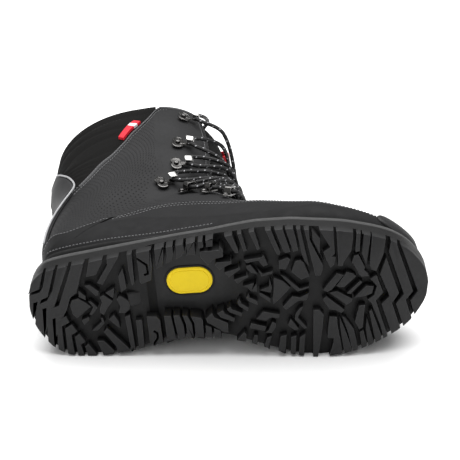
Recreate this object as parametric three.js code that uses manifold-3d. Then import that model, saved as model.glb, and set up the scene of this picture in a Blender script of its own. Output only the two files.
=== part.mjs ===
// A tall laced mountaineering boot, right foot, lying on its inner side with its sole upright.
// Millimetres. Boot axes while it is drawn: x from heel to toe, y towards the inner (medial) side, z up
// from the ground. The finished group is turned so that the sole faces -Y and the outer side faces +Z.
import * as THREE from "three";
import { mergeVertices } from "three/addons/utils/BufferGeometryUtils.js";
import Module from "manifold-3d";

const wasm = await Module();
wasm.setup();

// ---- driving dimensions ----
const SOLE_LENGTH = 313;
const SOLE_WIDTH = 115.5; // widest, across the ball of the foot
const SHAFT_HEIGHT = 280; // ground to the highest point of the rim
const LUG_DEPTH = 6;
const OUTSOLE_TOP = 16; // height of the outsole's upper face
const WAIST_RECESS = 7.5; // how far the sole's waist is raised above the groove floor
const TOE_SPRING = 18;
const HEEL_BEVEL = 5;
const MIDSOLE_RIM = 31; // height of the cup's edge at the forefoot
const HEEL_LIFT = 8; // extra height of that edge at the heel
const GAP = 0.3; // between solids that touch
const LAYER_GAP = 1.2; // between curved layers of the upper
const LEATHER = 3;
const LINING = 2;
const INNER_AIR = 3.5; // room between leather and lining for the stiffeners
const RAND = 1.6;
const BUMPER = 1.8;
const FACING = 1;
const FOOTBED = 2.4;
const TONGUE_THICKNESS = 2.8;
const COLLAR_SWELL = 1.6; // how far the padded collar stands out past the leather
const LACE_RADIUS = 1.8;
const LACE_CLEARANCE = 1.1; // a hook's opening is this much higher than the lace is thick
const HOOK_METAL = 1.1;
const HOOK_HEIGHT = 2 * HOOK_METAL + 2 * LACE_RADIUS + LACE_CLEARANCE; // to the top of its head
const ROLLER_RADIUS = 2.2;
const ROLLER_CLEARANCE = 0.3;
const PIN_RADIUS = 1;
const BADGE_LENGTH = 36;
const BADGE_WIDTH = 23;
const BADGE_THICKNESS = 1.6;

const NOMINAL = { length: 313, width: 115.5, height: 280 };
const stretchX = SOLE_LENGTH / NOMINAL.length;
const stretchY = SOLE_WIDTH / NOMINAL.width;
const FOOT_HEIGHT = 60; // below this the foot keeps its height when the shaft gets taller
const DEG = Math.PI / 180;

// ---- small helpers ----
function lerp(a, b, t) {
  return a + (b - a) * t;
}

function smooth(t) {
  const c = Math.min(1, Math.max(0, t));
  return c * c * (3 - 2 * c);
}

// A curve through points [x, y] that never overshoots them.
function curveThrough(points) {
  const n = points.length;
  const slope = [];
  for (let i = 0; i < n - 1; i++) {
    slope.push((points[i + 1][1] - points[i][1]) / (points[i + 1][0] - points[i][0]));
  }
  const tangent = points.map((_, i) => {
    if (i === 0) return slope[0];
    if (i === n - 1) return slope[n - 2];
    const [a, b] = [slope[i - 1], slope[i]];
    return a * b <= 0 ? 0 : (2 * a * b) / (a + b);
  });
  return (x) => {
    let i = 0;
    while (i < n - 2 && x > points[i + 1][0]) i++;
    const h = points[i + 1][0] - points[i][0];
    const t = Math.min(1, Math.max(0, (x - points[i][0]) / h));
    const t2 = t * t;
    const t3 = t2 * t;
    return (
      (2 * t3 - 3 * t2 + 1) * points[i][1] +
      (t3 - 2 * t2 + t) * h * tangent[i] +
      (3 * t2 - 2 * t3) * points[i + 1][1] +
      (t3 - t2) * h * tangent[i + 1]
    );
  };
}

function solidOf(positions, triangles) {
  let volume = 0;
  for (let i = 0; i < triangles.length; i += 3) {
    const [a, b, c] = [0, 1, 2].map((k) =>
      new THREE.Vector3().fromArray(positions, 3 * triangles[i + k]),
    );
    volume += a.dot(b.cross(c));
  }
  const turned = volume < 0 ? [...triangles].reverse() : triangles;
  const mesh = new wasm.Mesh({
    numProp: 3,
    vertProperties: new Float32Array(positions),
    triVerts: new Uint32Array(turned),
  });
  return new wasm.Manifold(mesh);
}

function solidFrom(geometry) {
  const bare = geometry.clone();
  bare.deleteAttribute("normal");
  bare.deleteAttribute("uv");
  const merged = mergeVertices(bare, 1e-4);
  return solidOf([...merged.attributes.position.array], [...merged.index.array]);
}

function joined(solids) {
  return solids.reduce((whole, piece) => whole.add(piece));
}

function geometryOf(solid) {
  const { numProp, vertProperties, triVerts } = solid.getMesh();
  const positions = [];
  for (let i = 0; i < vertProperties.length; i += numProp) {
    positions.push(vertProperties[i], vertProperties[i + 1], vertProperties[i + 2]);
  }
  const geometry = new THREE.BufferGeometry();
  geometry.setAttribute("position", new THREE.Float32BufferAttribute(positions, 3));
  geometry.setIndex([...triVerts]);
  geometry.computeVertexNormals();
  return geometry;
}

function finish(color, roughness, metalness = 0) {
  return new THREE.MeshStandardMaterial({ color, roughness, metalness });
}

const FINISH = {
  rubber: finish(0x1c1c1d, 0.75),
  midsole: finish(0x2b2b2c, 0.8),
  nubuck: finish(0x2c2c2d, 0.85),
  leather: finish(0x38383a, 0.7),
  padding: finish(0x1f1e1e, 0.9),
  lining: finish(0x2a2c30, 0.95),
  board: finish(0x6e6a60, 0.8),
  steel: finish(0x9a9c9f, 0.35, 1),
  gunmetal: finish(0x4b4a4c, 0.3, 1),
  cord: finish(0x121213, 0.8),
  red: finish(0xc5121e, 0.7),
  badge: finish(0xe8b800, 0.5),
  piping: finish(0x7c7d80, 0.7),
};

const boot = new THREE.Group();

function part(name, solid, material) {
  const mesh = new THREE.Mesh(geometryOf(solid), material);
  mesh.name = name;
  boot.add(mesh);
  return mesh;
}

// ---- the shoe's surface ----
// Sections from the toe tip, along the foot, round the ankle and up the shaft to the rim. Each one lies
// across the line from its top (dorsal) point to its bottom (plantar or back) point, given as x and z.
// Then come the half width, the middle's y, the share of the line where it is widest, and how square
// the section is above and below that.
const SECTIONS = [
  [306, 50, 306, 44, 3, 6, 0.6, 2.2, 2.6],
  [302, 57, 302, 39, 17, 6, 0.6, 2.2, 2.8],
  [293, 62, 293, 34, 28.5, 5, 0.6, 2.2, 3],
  [275, 68, 275, 30, 39.5, 2, 0.6, 2.2, 3.2],
  [250, 75, 250, 27, 46.5, -1, 0.62, 2.2, 3.4],
  [225, 86, 225, 25.5, 49.5, -3, 0.66, 2.1, 3.4],
  [205, 96, 205, 25, 48.5, -3, 0.68, 2.1, 3.4],
  [185, 112, 185, 26, 45, -3, 0.66, 2.1, 3.2],
  [166.5, 129.5, 130, 28.5, 41, -2, 0.62, 2.2, 3.2],
  [158.5, 148.5, 64, 36, 39, -1, 0.6, 2.3, 3.4],
  [156, 157.5, 10, 43.5, 38.5, 0, 0.6, 2.4, 3.2],
  [153.5, 165.5, 3.5, 95.5, 40, -1, 0.56, 2.4, 2.8],
  [151, 173, 5, 142, 42, -2, 0.5, 2.4, 2.4],
  [150, 180, -3, 180, 45, -3, 0.5, 2.4, 2.3],
  [149, 203, -5, 203, 47.5, -4, 0.5, 2.4, 2.3],
  [146, 228, -6, 228, 50, -6, 0.5, 2.4, 2.3],
  [142, 250, -6, 250, 51, -7.5, 0.5, 2.4, 2.3],
  [136, 280, -4, 280, 51.5, -8, 0.5, 2.4, 2.3],
];
const RIM = SECTIONS.length - 1;
const THROAT = 7; // section where the throat opens
const column = (k) => curveThrough(SECTIONS.map((row, i) => [i, row[k]]));
const COLUMNS = SECTIONS[0].map((_, k) => column(k));
const BLUNT = 18; // sections narrower than this grow less than their full offset
const TOE_REACH = 60; // length over which an offset moves the toe forward

// Heights above the foot are spread so that the rim's top is at SHAFT_HEIGHT.
function raised(z) {
  const share = Math.max(0, z - FOOT_HEIGHT) / (NOMINAL.height - FOOT_HEIGHT);
  return z + (SHAFT_HEIGHT - NOMINAL.height) * share;
}

// The point at section s, angle theta (0 on top, 90 degrees outside, 180 below or behind) and depth d.
function surface(s, theta, d = 0) {
  const [topX, topZ, lowX, lowZ, half, middle, share, squareTop, squareLow] = COLUMNS.map((f) => f(s));
  const top = [topX * stretchX, raised(topZ)];
  const low = [lowX * stretchX, raised(lowZ)];
  const length = Math.hypot(low[0] - top[0], low[1] - top[1]);
  const down = [(low[0] - top[0]) / length, (low[1] - top[1]) / length];
  const above = length * share;
  const below = length - above;
  const grown = (h) => h + d * Math.min(1, h / BLUNT);
  const cos = Math.cos(theta);
  const sin = Math.sin(theta);
  const power = 2 / (cos > 0 ? squareTop : squareLow);
  const along = above - Math.sign(cos) * Math.abs(cos) ** power * grown(cos > 0 ? above : below);
  const across = Math.sign(sin) * Math.abs(sin) ** power * grown(half * stretchY);
  const forward = d * Math.max(0, 1 - (SECTIONS[0][0] - topX) / TOE_REACH);
  return new THREE.Vector3(
    top[0] + down[0] * along + forward,
    middle * stretchY - across,
    top[1] + down[1] * along,
  );
}

// Sections spread over a stretch, closer together round the heel, where the surface turns most.
const HEEL_TURN = { from: 8.7, length: 2, extra: 3 };
const packed = (s) => s + HEEL_TURN.extra * smooth((s - HEEL_TURN.from) / HEEL_TURN.length);

function along(from, to, t) {
  const target = lerp(packed(from), packed(to), t);
  let [low, high] = [from, to];
  for (let i = 0; i < 40; i++) {
    const middle = (low + high) / 2;
    if (packed(middle) < target) low = middle;
    else high = middle;
  }
  return (low + high) / 2;
}

// A closed sheet of that surface. at(u, v) gives its section and angle; inner and outer are depths, or
// functions of u and v. A ring closes on itself along v; a cap closes its first end.
function sheet({ at, inner, outer, nu, nv, ring = false, capStart = false, capEnd = false }) {
  const depth = (d, u, v) => (typeof d === "function" ? d(u, v) : d);
  const rows = nu + 1;
  const columns = ring ? nv : nv + 1;
  const positions = [];
  for (const side of [outer, inner]) {
    for (let i = 0; i < rows; i++) {
      for (let j = 0; j < columns; j++) {
        const [u, v] = [i / nu, j / nv];
        const [s, theta] = at(u, v);
        positions.push(...surface(s, theta, depth(side, u, v)).toArray());
      }
    }
  }
  const index = (side, i, j) => side * rows * columns + i * columns + (j % columns);
  const triangles = [];
  const quad = (a, b, c, d) => triangles.push(a, b, c, a, c, d);
  for (let i = 0; i < nu; i++) {
    for (let j = 0; j < nv; j++) {
      quad(index(0, i, j), index(0, i + 1, j), index(0, i + 1, j + 1), index(0, i, j + 1));
      quad(index(1, i, j), index(1, i, j + 1), index(1, i + 1, j + 1), index(1, i + 1, j));
    }
  }
  const fan = (side, i, flip) => {
    const centre = positions.length / 3;
    const mean = new THREE.Vector3();
    for (let j = 0; j < columns; j++) {
      mean.add(new THREE.Vector3().fromArray(positions, 3 * index(side, i, j)));
    }
    positions.push(...mean.divideScalar(columns).toArray());
    for (let j = 0; j < nv; j++) {
      const [a, b] = [index(side, i, j), index(side, i, j + 1)];
      if (flip) triangles.push(centre, b, a);
      else triangles.push(centre, a, b);
    }
  };
  const wall = (i, flip) => {
    for (let j = 0; j < nv; j++) {
      const q = [index(0, i, j), index(0, i, j + 1), index(1, i, j + 1), index(1, i, j)];
      quad(...(flip ? q.reverse() : q));
    }
  };
  if (capStart) {
    fan(0, 0, false);
    fan(1, 0, true);
  } else {
    wall(0, false);
  }
  if (capEnd) {
    fan(0, nu, true);
    fan(1, nu, false);
  } else {
    wall(nu, true);
  }
  if (!ring) {
    for (let i = 0; i < nu; i++) {
      quad(index(0, i, 0), index(1, i, 0), index(1, i + 1, 0), index(0, i + 1, 0));
      quad(index(0, i, nv), index(0, i + 1, nv), index(1, i + 1, nv), index(1, i, nv));
    }
  }
  return solidOf(positions, triangles);
}

// The shoe's solid form out to one depth, to cut its bed into the midsole.
function form(d, stops, nv) {
  const positions = [];
  const triangles = [];
  const nu = stops.length - 1;
  for (const s of stops) {
    for (let j = 0; j < nv; j++) {
      positions.push(...surface(s, (j / nv) * 2 * Math.PI, d).toArray());
    }
  }
  for (let i = 0; i < nu; i++) {
    for (let j = 0; j < nv; j++) {
      const [a, b] = [i * nv + j, i * nv + ((j + 1) % nv)];
      triangles.push(a, a + nv, b + nv, a, b + nv, b);
    }
  }
  for (let j = 1; j < nv - 1; j++) {
    triangles.push(0, j, j + 1);
    triangles.push(nu * nv, nu * nv + j + 1, nu * nv + j);
  }
  return solidOf(positions, triangles);
}

// ---- the sole ----
const OUTER_EDGE = [
  [0, -2], [2, -16], [6, -25], [16, -33.5], [30, -37.5], [50, -40.5], [75, -44], [100, -47.5],
  [122, -50.5], [145, -53], [165, -56], [185, -58], [205, -58], [225, -56], [245, -53], [262, -48],
  [280, -40.5], [295, -30], [306, -16], [311, -6], [313, 5],
];
const INNER_EDGE = [
  [0, 2], [2, 13], [6, 22], [16, 35], [30, 42], [50, 44], [75, 41.5], [100, 36.5], [122, 33],
  [145, 34.5], [165, 39], [185, 47], [205, 54], [225, 57.5], [245, 56], [262, 52.5], [280, 46],
  [295, 38], [306, 26], [311, 17], [313, 5.2],
];
const outerEdge = curveThrough(OUTER_EDGE);
const innerEdge = curveThrough(INNER_EDGE);
const SPRING_START = 222;
const BEVEL_END = 34;
const EDGE_STEPS = 34;

// Height added to the flat sole: the toe's spring and the bevel at the back of the heel.
function rise(x) {
  const toe = Math.max(0, x / stretchX - SPRING_START) / (NOMINAL.length - SPRING_START);
  const heel = Math.max(0, BEVEL_END - x / stretchX) / BEVEL_END;
  return TOE_SPRING * toe * toe + HEEL_BEVEL * heel * heel;
}

// The waist's extra height over the groove floor, from behind the heel block to the forefoot.
function waistArch(x) {
  const t = x / stretchX;
  return WAIST_RECESS * smooth((t - 92) / 10) * (1 - smooth((t - 132) / 38));
}

// A slab with the sole's outline, in strips across the foot. bottom and top give z and inset at x.
function slab(bottom, top, strips = EDGE_STEPS, across = 6) {
  const positions = [];
  const triangles = [];
  const ring = 2 * (across + 1);
  for (let i = 0; i <= strips; i++) {
    const t = (1 - Math.cos((i / strips) * Math.PI)) / 2;
    for (const level of [bottom, top]) {
      const inset = level.inset;
      const x = lerp(inset, NOMINAL.length - inset, t);
      const [low, high] = [outerEdge(t * NOMINAL.length) + inset, innerEdge(t * NOMINAL.length) - inset];
      const [from, to] = high - low > 1 ? [low, high] : [(low + high) / 2 - 0.5, (low + high) / 2 + 0.5];
      for (let j = 0; j <= across; j++) {
        const k = level === bottom ? j : across - j;
        const y = lerp(from, to, k / across) * stretchY;
        positions.push(x * stretchX, y, level.z(x * stretchX, k / across) + rise(x * stretchX));
      }
    }
  }
  for (let i = 0; i < strips; i++) {
    for (let j = 0; j < ring; j++) {
      const [a, b] = [i * ring + j, i * ring + ((j + 1) % ring)];
      triangles.push(a, b, b + ring, a, b + ring, a + ring);
    }
  }
  for (let j = 1; j < ring - 1; j++) {
    triangles.push(0, j + 1, j);
    triangles.push(strips * ring, strips * ring + j, strips * ring + j + 1);
  }
  return solidOf(positions, triangles);
}

// Tread blocks seen from below, as outlines in x and y. Those at the edge run past it and are trimmed.
const LUGS = {
  heelChevrons: [
    [[-4, -10.8], [0.3, -12.8], [11, -17.9], [16.4, -34.5], [15.5, -42], [-4, -42]],
    [[-5, -9.5], [0, -11.3], [12.6, -16.2], [18.4, -35], [19, -44], [26.6, -44], [25.4, -35.5],
      [17, -11.3], [4.8, -5.2], [0.8, 13], [-5, 12]],
    [[-2, 16], [2.4, 14], [6.2, -3.6], [18.4, -9.8], [27.8, -37], [28, -46], [37.5, -46], [36.3, -39.5],
      [22.5, -5.8], [11.6, -0.2], [8.4, 29], [4, 33]],
    [[10.4, 31], [13.4, 1.4], [24.4, -4], [39.2, -40], [39, -48], [50.5, -48], [49.8, -42],
      [44.6, -27], [40.2, -14], [34, -9.6], [31.3, -1], [28.4, 4.2], [18.4, 8.6], [16.2, 37], [12, 39]],
    [[18.2, 37], [20, 10.2], [28.8, 5.6], [31, 12], [24.4, 15.4], [23.2, 42], [18, 44]],
    [[25.1, 42], [26.3, 17], [32.4, 13.4], [36.2, 20.4], [31, 23.6], [31.4, 46], [25, 46]],
    [[33.6, 44], [33, 25], [37.2, 22.2], [41.4, 30.2], [37.4, 32.8], [39.2, 46], [33, 48]],
    [[41.2, 48], [39.9, 34.6], [43, 31.6], [49, 42.5], [48, 49]],
  ],
  heelStar: [
    [[33, -3], [35, -8], [40.5, -9.5], [45.8, -5.2], [49.8, -1.2], [40, 6.6], [37, 8.5], [34.3, 5]],
    [[46.2, -20.3], [51, -20.5], [57.4, -14.3], [56.8, -10.8], [54.2, -10.4]],
    [[41.4, -16.3], [46.6, -10.9], [46.4, -6.8], [40.8, -10.2]],
    [[47.4, -6.2], [50.2, -6], [54.8, 0], [49.5, 6.6], [46.8, 6.4], [50.8, -0.8]],
    [[57, -9.5], [60.5, -11], [67.2, -5.2], [61, 3.2], [58.5, 7.5], [55.5, 4.5], [56, 0.5], [58, -4.5]],
    [[61.8, -12.6], [69.6, -16.8], [68.6, -9.4], [67.4, -7]],
    [[70, -6.5], [72.5, -9.5], [75, -8.4], [80, -3.3], [79.8, 2.8], [76, 6.4], [70, 6.2], [72, 0.2]],
    [[42.2, 15.4], [40.3, 10.2], [46.3, 7.8], [47.3, 8.4], [46.6, 11]],
    [[47, 20.6], [56, 12.6], [55.6, 9.6], [57.6, 9.2], [58.4, 14.5], [52, 20.9]],
    [[61.5, 11.2], [66.4, 6.8], [69.6, 13.6], [70, 19.8], [68.5, 19]],
  ],
  heelEdge: [
    [[53, -50], [64.5, -50], [63.5, -40], [57, -28.6], [48.6, -27.3], [52.5, -41]],
    [[67, -50], [77.5, -50], [75.5, -42], [61, -19.5], [56.3, -21.6], [66.2, -36.5]],
    [[77.8, -33], [78.8, -26], [79.3, -15.5], [74.2, -11.5], [73.6, -26.5]],
    [[82.3, -50], [87, -50], [85.8, -18.5], [83.2, -17.3], [82, -30]],
    [[89.5, -54], [101, -54], [101, -32], [99, -21], [91, -18], [89.6, -20]],
    [[50, 29.8], [55.8, 30.2], [63, 40], [61, 50], [55.5, 50]],
    [[56.2, 22.4], [59.6, 18.4], [75.2, 39], [74, 50], [66, 50], [64.5, 36]],
    [[74.5, 9.5], [79, 8], [79.8, 36.5], [80, 48], [77.8, 48], [75.5, 33]],
    [[82.6, 13.5], [88, 13.5], [87, 46], [82.6, 46]],
    [[91.5, 10.5], [99.5, 11], [102, 15], [102.6, 46], [91, 46], [92, 30]],
  ],
  waistEdge: [
    [[103.8, -62], [111.3, -62], [110.8, -42], [109.2, -32.5], [103.5, -30.5]],
    [[113, -62], [118.4, -62], [118.2, -42], [116.8, -36.6], [111.4, -34.6], [112.6, -41]],
    [[120.2, -62], [126, -62], [127, -44], [124, -39.8], [119.3, -37.5], [120, -42]],
    [[127.8, -62], [135, -62], [135, -40.2], [130.5, -41], [127.2, -40.3], [128.6, -43.5]],
    [[137, -62], [141.5, -62], [141.8, -46.4], [137.6, -45.4]],
    [[143, -62], [149.4, -62], [148.8, -46.8], [143.4, -46.2]],
    [[105, 11], [110.8, 11.3], [112.8, 30], [112.8, 40], [105.3, 40]],
    [[112.2, 11.3], [117.5, 11.5], [120, 21], [120.2, 40], [114.2, 40], [114, 30]],
    [[119.4, 11.8], [123.6, 12.3], [126.6, 20], [127, 40], [121.6, 40], [121.4, 20]],
    [[125.6, 12.8], [134, 14.8], [135.4, 17], [135, 40], [128.2, 40], [128, 19.5]],
    [[136.6, 21.6], [141.5, 23.8], [141.5, 40], [136.6, 40]],
    [[143, 24.8], [148.5, 27.4], [148.5, 40], [142.6, 40]],
  ],
  waistZigzags: [
    [[138, -43.3], [153, -43.8], [153.4, -47.3], [156.4, -44], [155.9, -37], [147.3, -35.3],
      [145.3, -31], [143, -31], [138.2, -38]],
    [[149.5, -33.2], [160.6, -33.2], [161.3, -37], [162.3, -31], [154, -27.3], [152.2, -25.4],
      [148.6, -30.8]],
    [[155.2, -24], [166.2, -27], [167, -30], [168.2, -25.5], [160.6, -20.5], [158.6, -18.8]],
    [[162, -17.2], [171.8, -20], [172.8, -23.4], [174, -18.5], [167.5, -15], [165, -12.8]],
    [[168.6, -11], [178.6, -13.4], [179.4, -18], [179.8, -10.5], [179.4, -5], [174.5, -5.6],
      [172.5, -8.5]],
    [[137.2, 16], [143, 10.8], [144.4, 15.2], [154.8, 21], [154.4, 30], [151.5, 30], [143, 23.2],
      [138.4, 20]],
    [[146.3, 12], [152, 9], [153, 12.4], [160.3, 17], [159.6, 20.8], [149.5, 16.3]],
    [[154.5, 8.6], [157.8, 6], [159, 9.2], [166.8, 12.8], [165.6, 16.4], [156.5, 12]],
    [[162.8, 3.5], [165.2, -0.5], [166.6, 4.2], [172, 8.4], [171, 12], [164.5, 7.2]],
    [[170.2, -0.6], [172.6, -4.4], [173.6, -0.4], [179.2, 3], [179, 7], [171.4, 2.6]],
    [[180.8, -4.4], [183, -3.6], [189.4, 1.3], [189, 5.6], [181, -1.6]],
  ],
  foreOuter: [
    [[153.5, -64], [161.5, -64], [167.5, -44], [168.2, -39.5], [164.8, -39.8]],
    [[165.8, -64], [169.5, -64], [174.6, -41], [171.4, -40.6]],
    [[174.3, -64], [179.8, -64], [184.6, -42], [181.8, -41]],
    [[186.8, -64], [192.2, -64], [199.6, -38.5], [199, -35.6], [196.5, -36.2]],
    [[194.2, -64], [200.6, -64], [207.5, -38], [203.5, -36.8], [201.6, -38.4]],
    [[202.6, -64], [208.5, -64], [212, -50], [213.5, -38.5], [209, -37.6]],
    [[211.6, -64], [215, -64], [220.8, -24], [216.8, -29.5], [215, -37]],
    [[217, -64], [222, -64], [222.5, -47], [231, -25.5], [231.3, -21.5], [228.8, -15.6],
      [224.6, -15.6]],
    [[224.2, -55.5], [230.4, -48], [229.6, -38.6], [229.8, -35], [232, -28], [224, -46.5]],
    [[226.5, -62], [240.6, -62], [240.8, -33], [238.6, -31.6], [241.5, -30.6], [239.8, -24],
      [236.6, -21.3], [233.6, -29], [231.6, -36], [237.2, -39.5], [233, -48]],
    [[242.4, -62], [256, -62], [255.2, -44], [253.4, -34], [247, -25.2], [246.3, -22], [242.2, -22.2],
      [242.6, -27]],
    [[258.6, -58], [262.5, -58], [259.8, -33], [256.5, -32.3], [256, -34]],
    [[263.5, -58], [269.5, -54], [267.5, -37], [264.2, -20.5], [260.8, -31]],
    [[270.4, -54], [281, -44], [277.8, -26.5], [271.8, -13.4], [267.8, -15.6], [266.4, -20.5]],
    [[255, -30], [258.6, -30.6], [263.4, -18.5], [262.6, -16.4], [265, -13.6], [266.2, -10.2],
      [260, -10.5], [258.3, -13], [254, -22.6], [252.6, -23.8]],
    [[171, -33.6], [184.6, -35], [186.4, -37.6], [189.6, -28], [185.6, -26.4], [182, -32],
      [173, -30.4]],
    [[172, -28.4], [176, -29.4], [181.5, -20.2], [175.8, -22], [173, -25]],
    [[181, -25.5], [185, -20.6], [192.8, -22.6], [192, -19.8], [183.5, -18]],
    [[197.5, -31], [204.6, -33.5], [207, -31.5], [202.6, -22.6], [197, -24]],
    [[210, -30], [214.4, -30.6], [217, -28], [220.6, -15.8], [213.8, -13], [206.4, -20.6]],
  ],
  foreStar: [
    [[181, -6.4], [188.5, -9.2], [189.8, -16], [191.2, -8], [190, -3.4], [186, -4.4]],
    [[192.5, -17], [199.8, -13.5], [205.5, -7], [196, 3], [191, 7], [190.6, 2], [191.9, -6]],
    [[198, -19], [201.6, -17.4], [212.4, -5.6], [219.6, -7.4], [219.4, -5.4], [210.4, -2.8],
      [206.4, -7.6], [200.6, -14.6]],
    [[203.6, 3], [206, 0.6], [212, 2], [219.2, -1.4], [217.4, 5], [210, 5.6], [200.5, 13], [198, 9.5]],
    [[229.6, -3], [241.2, -16.6], [246.8, -14.2], [236.8, -2.2], [233, -0.8]],
    [[248.8, -16.8], [253.6, -15], [256.4, -11.8], [246.5, -3.4], [242.6, -3.8], [240, -5.4]],
    [[247.6, 2], [258.8, -7.8], [261, -6], [251, 3.4]],
    [[253.2, 6.8], [263.2, -2.6], [269.6, -1], [268, 5.4], [262, 7]],
    [[266.6, -8], [271.9, -10.5], [276.8, 6.2], [270.8, 12.2], [274.5, 28], [278.6, 44], [279, 54],
      [276.4, 54], [272.6, 34], [266.8, 14.2], [263.8, 10], [269, 7], [271.4, -0.5]],
    [[229, 5], [232.3, 2.6], [246.2, 16.4], [243.2, 19.4], [238.8, 16], [234, 15]],
    [[234.6, -0.2], [240.8, -1], [247.5, 3.8], [252.6, 7.4], [251.4, 10.2], [247.4, 12.6]],
  ],
  foreInner: [
    [[182.4, 12.6], [195.4, 16.2], [194.6, 20], [188.6, 18.8], [184.4, 21.6], [176.4, 19.2]],
    [[172.4, 22.4], [184.6, 26.4], [183.2, 30.6], [170.6, 27.2]],
    [[189, 22], [192, 24], [191.8, 27.5], [188.2, 33], [182.8, 32], [185.6, 29.6]],
    [[210.8, 11.8], [214.2, 10], [209.6, 20.2], [216, 29.4], [213.6, 31], [206.4, 21.5], [207.6, 16]],
    [[203.6, 20.5], [207.6, 26.6], [209.8, 31], [206, 31.5], [200.6, 26.5]],
    [[160.4, 36.5], [166.6, 29.6], [168.4, 32.4], [165.6, 50], [160, 50]],
    [[172, 40.5], [174.2, 33.2], [177.2, 34], [174.8, 54], [171, 54]],
    [[180.4, 46.5], [184, 36.4], [188, 35.2], [186, 42], [183.4, 58], [178, 58]],
    [[194.5, 36], [199.8, 35], [197.6, 52], [197, 60], [190.6, 60], [191.5, 52]],
    [[202.6, 37.5], [207.4, 36], [205, 62], [200.4, 62]],
    [[209.4, 38], [214.5, 34.6], [213.4, 44], [211.4, 62], [207, 62]],
    [[221.4, 14], [226.6, 14.2], [229.6, 19], [228.4, 30], [225.6, 45.5], [222, 62], [218.4, 62],
      [219.8, 40]],
    [[233.6, 21], [239.8, 21.8], [240.2, 31], [242, 46], [242.8, 62], [230, 62], [235.6, 44.5],
      [235.8, 41.4], [231, 40.4], [231.8, 32]],
    [[241.2, 31.5], [241.6, 22], [245.6, 34], [249.8, 50], [249.6, 62], [244.4, 62]],
    [[243.4, 21.5], [246.6, 24], [252.4, 34.6], [254.8, 50], [255, 62], [251.2, 62], [247.4, 38]],
    [[257, 14.2], [262.2, 14.4], [261, 22], [259.6, 34.5], [256.4, 36.2], [253, 28.6]],
    [[256.4, 38.2], [259.8, 36.4], [262, 48], [262, 60], [257.8, 60]],
    [[262.8, 26], [268, 50], [268, 60], [263.8, 60], [261.2, 36]],
    [[264.6, 21], [267, 19], [273.4, 42], [274.6, 56], [270.4, 58]],
  ],
  toeBars: [
    [[279.8, -24.5], [289.2, 9.5], [283.4, 17.2], [289.3, 41], [291, 56], [282.5, 56], [281.4, 43.5],
      [274.4, 15.8], [281, 10.4], [274.3, -10.5]],
    [[283.4, -46], [289.4, -44], [288.8, -33], [300.4, 10.8], [294.4, 17], [298.4, 33.6], [303, 48],
      [293, 56], [291.4, 40], [285.8, 18.2], [292.4, 11], [281.8, -28.5], [283.6, -36.5]],
    [[290.9, -44], [291, -33], [303.6, 11.4], [297.4, 18.4], [300.8, 33], [308, 46], [325, 20],
      [325, -30], [300, -44]],
  ],
};
const LUG_ROOT = 1; // how far a block is let into the sole's plate

function outlineSolid(points, from, to) {
  const shape = new THREE.Shape(
    points.map(([x, y]) => new THREE.Vector2(x * stretchX, y * stretchY)),
  );
  const geometry = new THREE.ExtrudeGeometry(shape, { depth: to - from, bevelEnabled: false });
  return solidFrom(geometry.translate(0, 0, from));
}

function lifted(solid) {
  return solid.warp((v) => {
    v[2] += rise(v[0]);
  });
}

const trimSteps = Array.from({ length: EDGE_STEPS + 1 }, (_, i) => {
  return ((1 - Math.cos((i / EDGE_STEPS) * Math.PI)) / 2) * NOMINAL.length;
});
const soleOutline = [
  ...trimSteps.map((x) => [x, outerEdge(x)]),
  ...[...trimSteps].reverse().map((x) => [x, innerEdge(x)]),
];
const WAIST_BLOCKS = ["waistEdge", "waistZigzags"];
const trim = outlineSolid(soleOutline, -1, OUTSOLE_TOP);
const blocks = Object.entries(LUGS).flatMap(([zone, outlines]) => {
  const top = LUG_DEPTH + LUG_ROOT + (WAIST_BLOCKS.includes(zone) ? WAIST_RECESS : 0);
  return outlines.map((points) => outlineSolid(points, 0, top));
});
const GROOVE_SIDE = 0.6; // sole wall's inset at the groove floor
const plate = slab(
  {
    inset: 0.05,
    z: (x, across) => LUG_DEPTH + waistArch(x) * (across > 0 && across < 1 ? 1 : 0.4),
  },
  { inset: GROOVE_SIDE, z: () => OUTSOLE_TOP },
);
const badgeCentre = { x: 127 * stretchX, y: -12 * stretchY };
const badgeFace = LUG_DEPTH + waistArch(badgeCentre.x);

function stadium(length, width, from, to) {
  const shape = new THREE.Shape();
  const [run, radius] = [(length - width) / 2, width / 2];
  shape.absarc(run, 0, radius, -Math.PI / 2, Math.PI / 2);
  shape.absarc(-run, 0, radius, Math.PI / 2, 1.5 * Math.PI);
  const settings = { depth: to - from, bevelEnabled: false, curveSegments: 8 };
  const geometry = new THREE.ExtrudeGeometry(shape, settings);
  return solidFrom(geometry.translate(badgeCentre.x, badgeCentre.y, from));
}

const badgePocket = stadium(
  BADGE_LENGTH + 2 * GAP,
  BADGE_WIDTH + 2 * GAP,
  0,
  badgeFace + BADGE_THICKNESS - GAP,
);
const trimmedBlocks = joined(blocks).intersect(trim);
const outsole = plate.add(lifted(trimmedBlocks)).subtract(badgePocket);
part("outsole", outsole, FINISH.rubber);
part(
  "sole_badge",
  stadium(BADGE_LENGTH, BADGE_WIDTH, badgeFace - 2 * GAP, badgeFace + BADGE_THICKNESS - 2 * GAP),
  FINISH.badge,
);

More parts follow.
